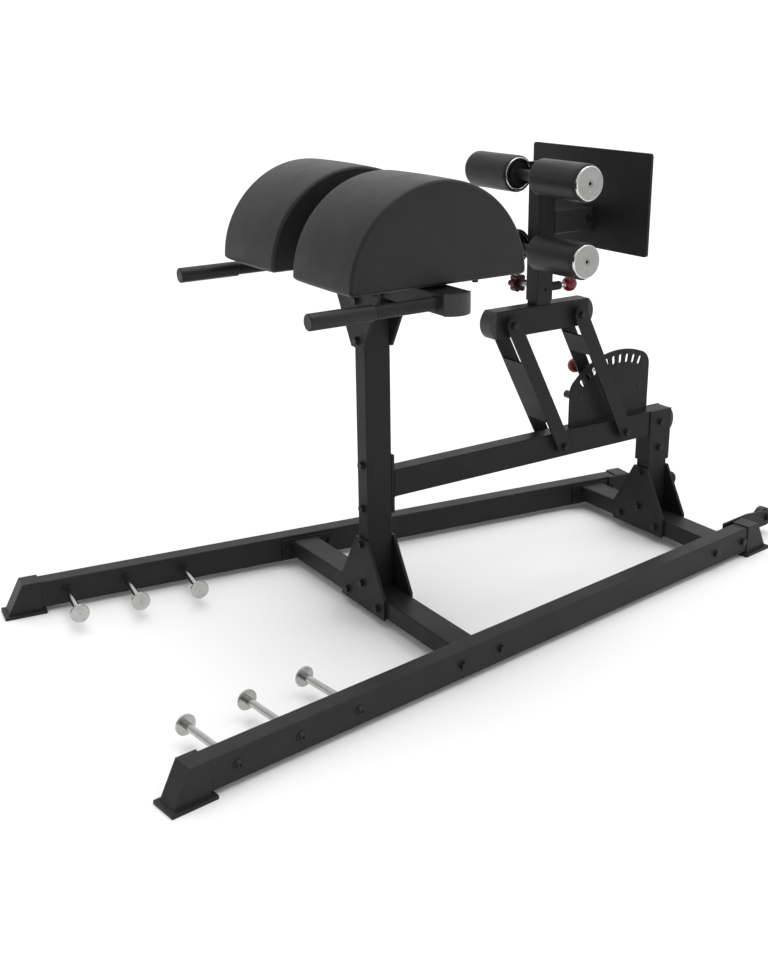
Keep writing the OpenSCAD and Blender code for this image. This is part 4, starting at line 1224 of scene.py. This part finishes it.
@dataclass
class AnkleRoller:
    """One foam roller on its hub."""

    paint: Paintshop
    builder: Builder
    level: Level
    side: Side
    radius: float = 0.048
    inner_end: float = 0.046
    outer_end: float = 0.2275
    edge: float = 0.008
    bore: float = 0.017
    dish: float = 0.0385
    dish_deep: float = 0.0075
    band: float = 0.0052
    lip: float = 0.0035
    sunk: float = 0.0003
    wave: float = 0.00035
    pucker: float = 0.00022
    pucker_reach: float = 0.007
    puckers: int = 34

    def profile(self) -> Profile:
        """Return the foam's profile, as radius and distance from the middle plane."""
        r, e = self.radius, self.edge
        seat = self.inner_end + self.dish_deep
        start = [(self.bore, seat), (self.dish * 0.72, seat), (self.dish, seat)]
        start += [(self.dish, self.inner_end + self.lip)]
        start += [(r - e + s, self.inner_end + e - c) for s, c in arc(e, 270 / 7, 90, 90 / 7)]
        length = self.outer_end - self.inner_end - 2 * e
        rows = 24
        body = [(r, self.inner_end + e + length * i / rows) for i in range(1, rows)]
        end = [(r - e + c, self.outer_end - e + s) for s, c in arc(e, 0, 90, 90 / 7)]
        end += [(x, self.outer_end) for x in (r - e - 0.004, self.bore + 0.012, self.bore)]
        return start + body + end

    def rim_profile(self) -> Profile:
        """Return the section of the ring in the foam's inner end, as radius and distance."""
        inner, face, outer = self.dish, self.inner_end - 0.0006, self.dish + self.band
        deep = self.inner_end + self.dish_deep - 0.0002
        return [
            (inner - 0.0012, deep), (inner - 0.0012, face + 0.0030),
            (inner - 0.0004, face + 0.0014), (inner + 0.0012, face + 0.0003),
            (inner + 0.0028, face), (outer - 0.0008, face + 0.0006),
            (outer, face + 0.0020), (outer, face + 0.0034), (inner + 0.0004, deep),
        ]

    def settled(self, angle: float, radius: float, along: float) -> float:
        """Return how far the foam's skin moves outwards at one place.

        Args:
            angle: The angle round the axle, in radians.
            radius: The distance from the axle.
            along: The distance from the middle plane.

        Returns:
            The move, in metres.
        """
        if radius < self.radius - self.edge - 0.001:
            return 0.0
        shifted = along * 14.0 + AXLE_SPACING * self.side.value
        spot = Vector((math.cos(angle), math.sin(angle), shifted))
        wave = self.wave * noise.noise(spot * 1.6)
        close = min(along - self.inner_end, self.outer_end - along)
        phase = angle * self.puckers + 2.0 * noise.noise(spot * 3.0)
        pucker = self.pucker * math.exp(-close / self.pucker_reach) * math.sin(phase)
        return wave + pucker - self.sunk

    def build(self) -> None:
        """Make the foam and finish the hub."""
        tag = f"{self.level.name}_{self.side.name}".lower()
        middle = (AXLE_X, 0.0, AXLE_LOW + AXLE_SPACING * self.level.value)
        axis = (0.0, float(self.side.value), 0.0)
        body = f"roller_{tag}"
        skin = turned(self.profile(), middle, axis, steps=128, shift=self.settled)
        foam = self.builder.piece(f"roller_foam_{tag}", skin, body, SkinnedFoam(), "roller_foam")
        rim = turned(self.rim_profile(), middle, axis, looped=True)
        self.builder.piece(f"roller_rim_{tag}", rim, body, RIM_CHROME, "satin_alloy")
        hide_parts(f"roller_{tag}")
        self.paint.coat(f"hub_{tag}", TurnedAlloy())


@dataclass
class Studio:
    """Floor, light and the camera at the photograph's place."""

    paint: Paintshop
    camera_at: Point = (-1.8420, -2.6002, 1.4896)
    heading: float = 57.626
    down: float = 19.993
    roll: float = -0.846
    lens: float = 46.83
    floor_reach: float = 60.0
    floor_below: float = 0.0004
    brightest: float = 15.0
    fade: float = 0.9
    dim: float = 0.56
    bright: float = 1.12
    overhead: float = 1.38
    overhead_spread: float = 55.0
    overhead_at: Point = (-0.5, 0.3, 4.0)
    falls: Point = (-0.10, -0.04, -1.0)

    def build(self) -> None:
        """Set up the studio."""
        self.floor()
        self.lights()
        self.camera()

    def floor(self) -> None:
        """Lay the floor."""
        mesh = bpy.data.meshes.new("studio_floor")
        reach = self.floor_reach
        corners = [(-reach, -reach, 0), (reach, -reach, 0), (reach, reach, 0), (-reach, reach, 0)]
        mesh.from_pydata(corners, [], [(0, 1, 2, 3)])
        mesh.materials.append(self.paint.material(StudioFloor()))
        floor = bpy.data.objects.new("studio_floor", mesh)
        floor.location.z = -self.floor_below
        bpy.context.scene.collection.objects.link(floor)
        log.info("floor laid")

    def air(self) -> None:
        """Surround the machine with a pale room, brighter behind it than behind the camera."""
        world = bpy.data.worlds.new("studio_air")
        world.use_nodes = True
        tree = world.node_tree
        back = tree.nodes["Background"]
        back.inputs["Color"].default_value = (1.0, 1.0, 1.0, 1.0)
        towards = tree.nodes.new("ShaderNodeVectorMath")
        towards.operation = "DOT_PRODUCT"
        heading = math.radians(self.brightest)
        towards.inputs[1].default_value = (math.cos(heading), math.sin(heading), 0.0)
        tree.links.new(tree.nodes.new("ShaderNodeTexCoord").outputs["Generated"], towards.inputs[0])
        level = tree.nodes.new("ShaderNodeMapRange")
        level.interpolation_type = "SMOOTHSTEP"
        ends = {"From Min": -self.fade, "From Max": self.fade}
        ends |= {"To Min": self.dim, "To Max": self.bright}
        for name, value in ends.items():
            level.inputs[name].default_value = value
        tree.links.new(towards.outputs["Value"], level.inputs["Value"])
        tree.links.new(level.outputs["Result"], back.inputs["Strength"])
        bpy.context.scene.world = world

    def lights(self) -> None:
        """Light the room and hang one broad, soft lamp overhead."""
        self.air()
        lamp = bpy.data.lights.new("overhead_light", "SUN")
        lamp.energy = self.overhead
        lamp.angle = math.radians(self.overhead_spread)
        hung = bpy.data.objects.new("overhead_light", lamp)
        hung.location = self.overhead_at
        hung.rotation_mode = "QUATERNION"
        hung.rotation_quaternion = Vector(self.falls).to_track_quat("-Z", "Y")
        bpy.context.scene.collection.objects.link(hung)
        view = bpy.context.scene.view_settings
        view.view_transform = "Standard"
        view.look = "None"
        log.info("lights hung")

    def camera(self) -> None:
        """Place the camera where the photograph was taken from."""
        a, e, t = (math.radians(v) for v in (self.heading, self.down, self.roll))
        right = Vector((math.sin(a), -math.cos(a), 0.0))
        up = Vector((math.cos(a) * math.sin(e), math.sin(a) * math.sin(e), math.cos(e)))
        x = math.cos(t) * right + math.sin(t) * up
        y = -math.sin(t) * right + math.cos(t) * up
        z = x.cross(y)
        data = bpy.data.cameras.new("photo_camera")
        data.sensor_fit = "VERTICAL"
        data.sensor_width = data.sensor_height = 36.0
        data.lens = self.lens
        camera = bpy.data.objects.new("photo_camera", data)
        turn = Matrix((x, y, z)).transposed().to_4x4()
        camera.matrix_world = Matrix.Translation(self.camera_at) @ turn
        bpy.context.scene.collection.objects.link(camera)
        bpy.context.scene.camera = camera
        log.info("camera placed")


def main() -> None:
    """Build the looks in order."""
    logging.basicConfig(level=logging.INFO, format="%(message)s")
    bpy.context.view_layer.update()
    paint = Paintshop()
    builder = Builder(paint)
    Studio(paint).build()
    SteelFrame(paint, builder).build()
    Fasteners(paint).build()
    BaseTrim(paint).build()
    for side in Side:
        TorsoPad(builder, side).build()
    HandGrips(builder).build()
    Linkage(paint).build()
    RollerPost(paint, builder).build()
    for level in Level:
        for side in Side:
            AnkleRoller(paint, builder, level, side).build()
    log.info("boxes kept")


if __name__ == "__main__":
    main()
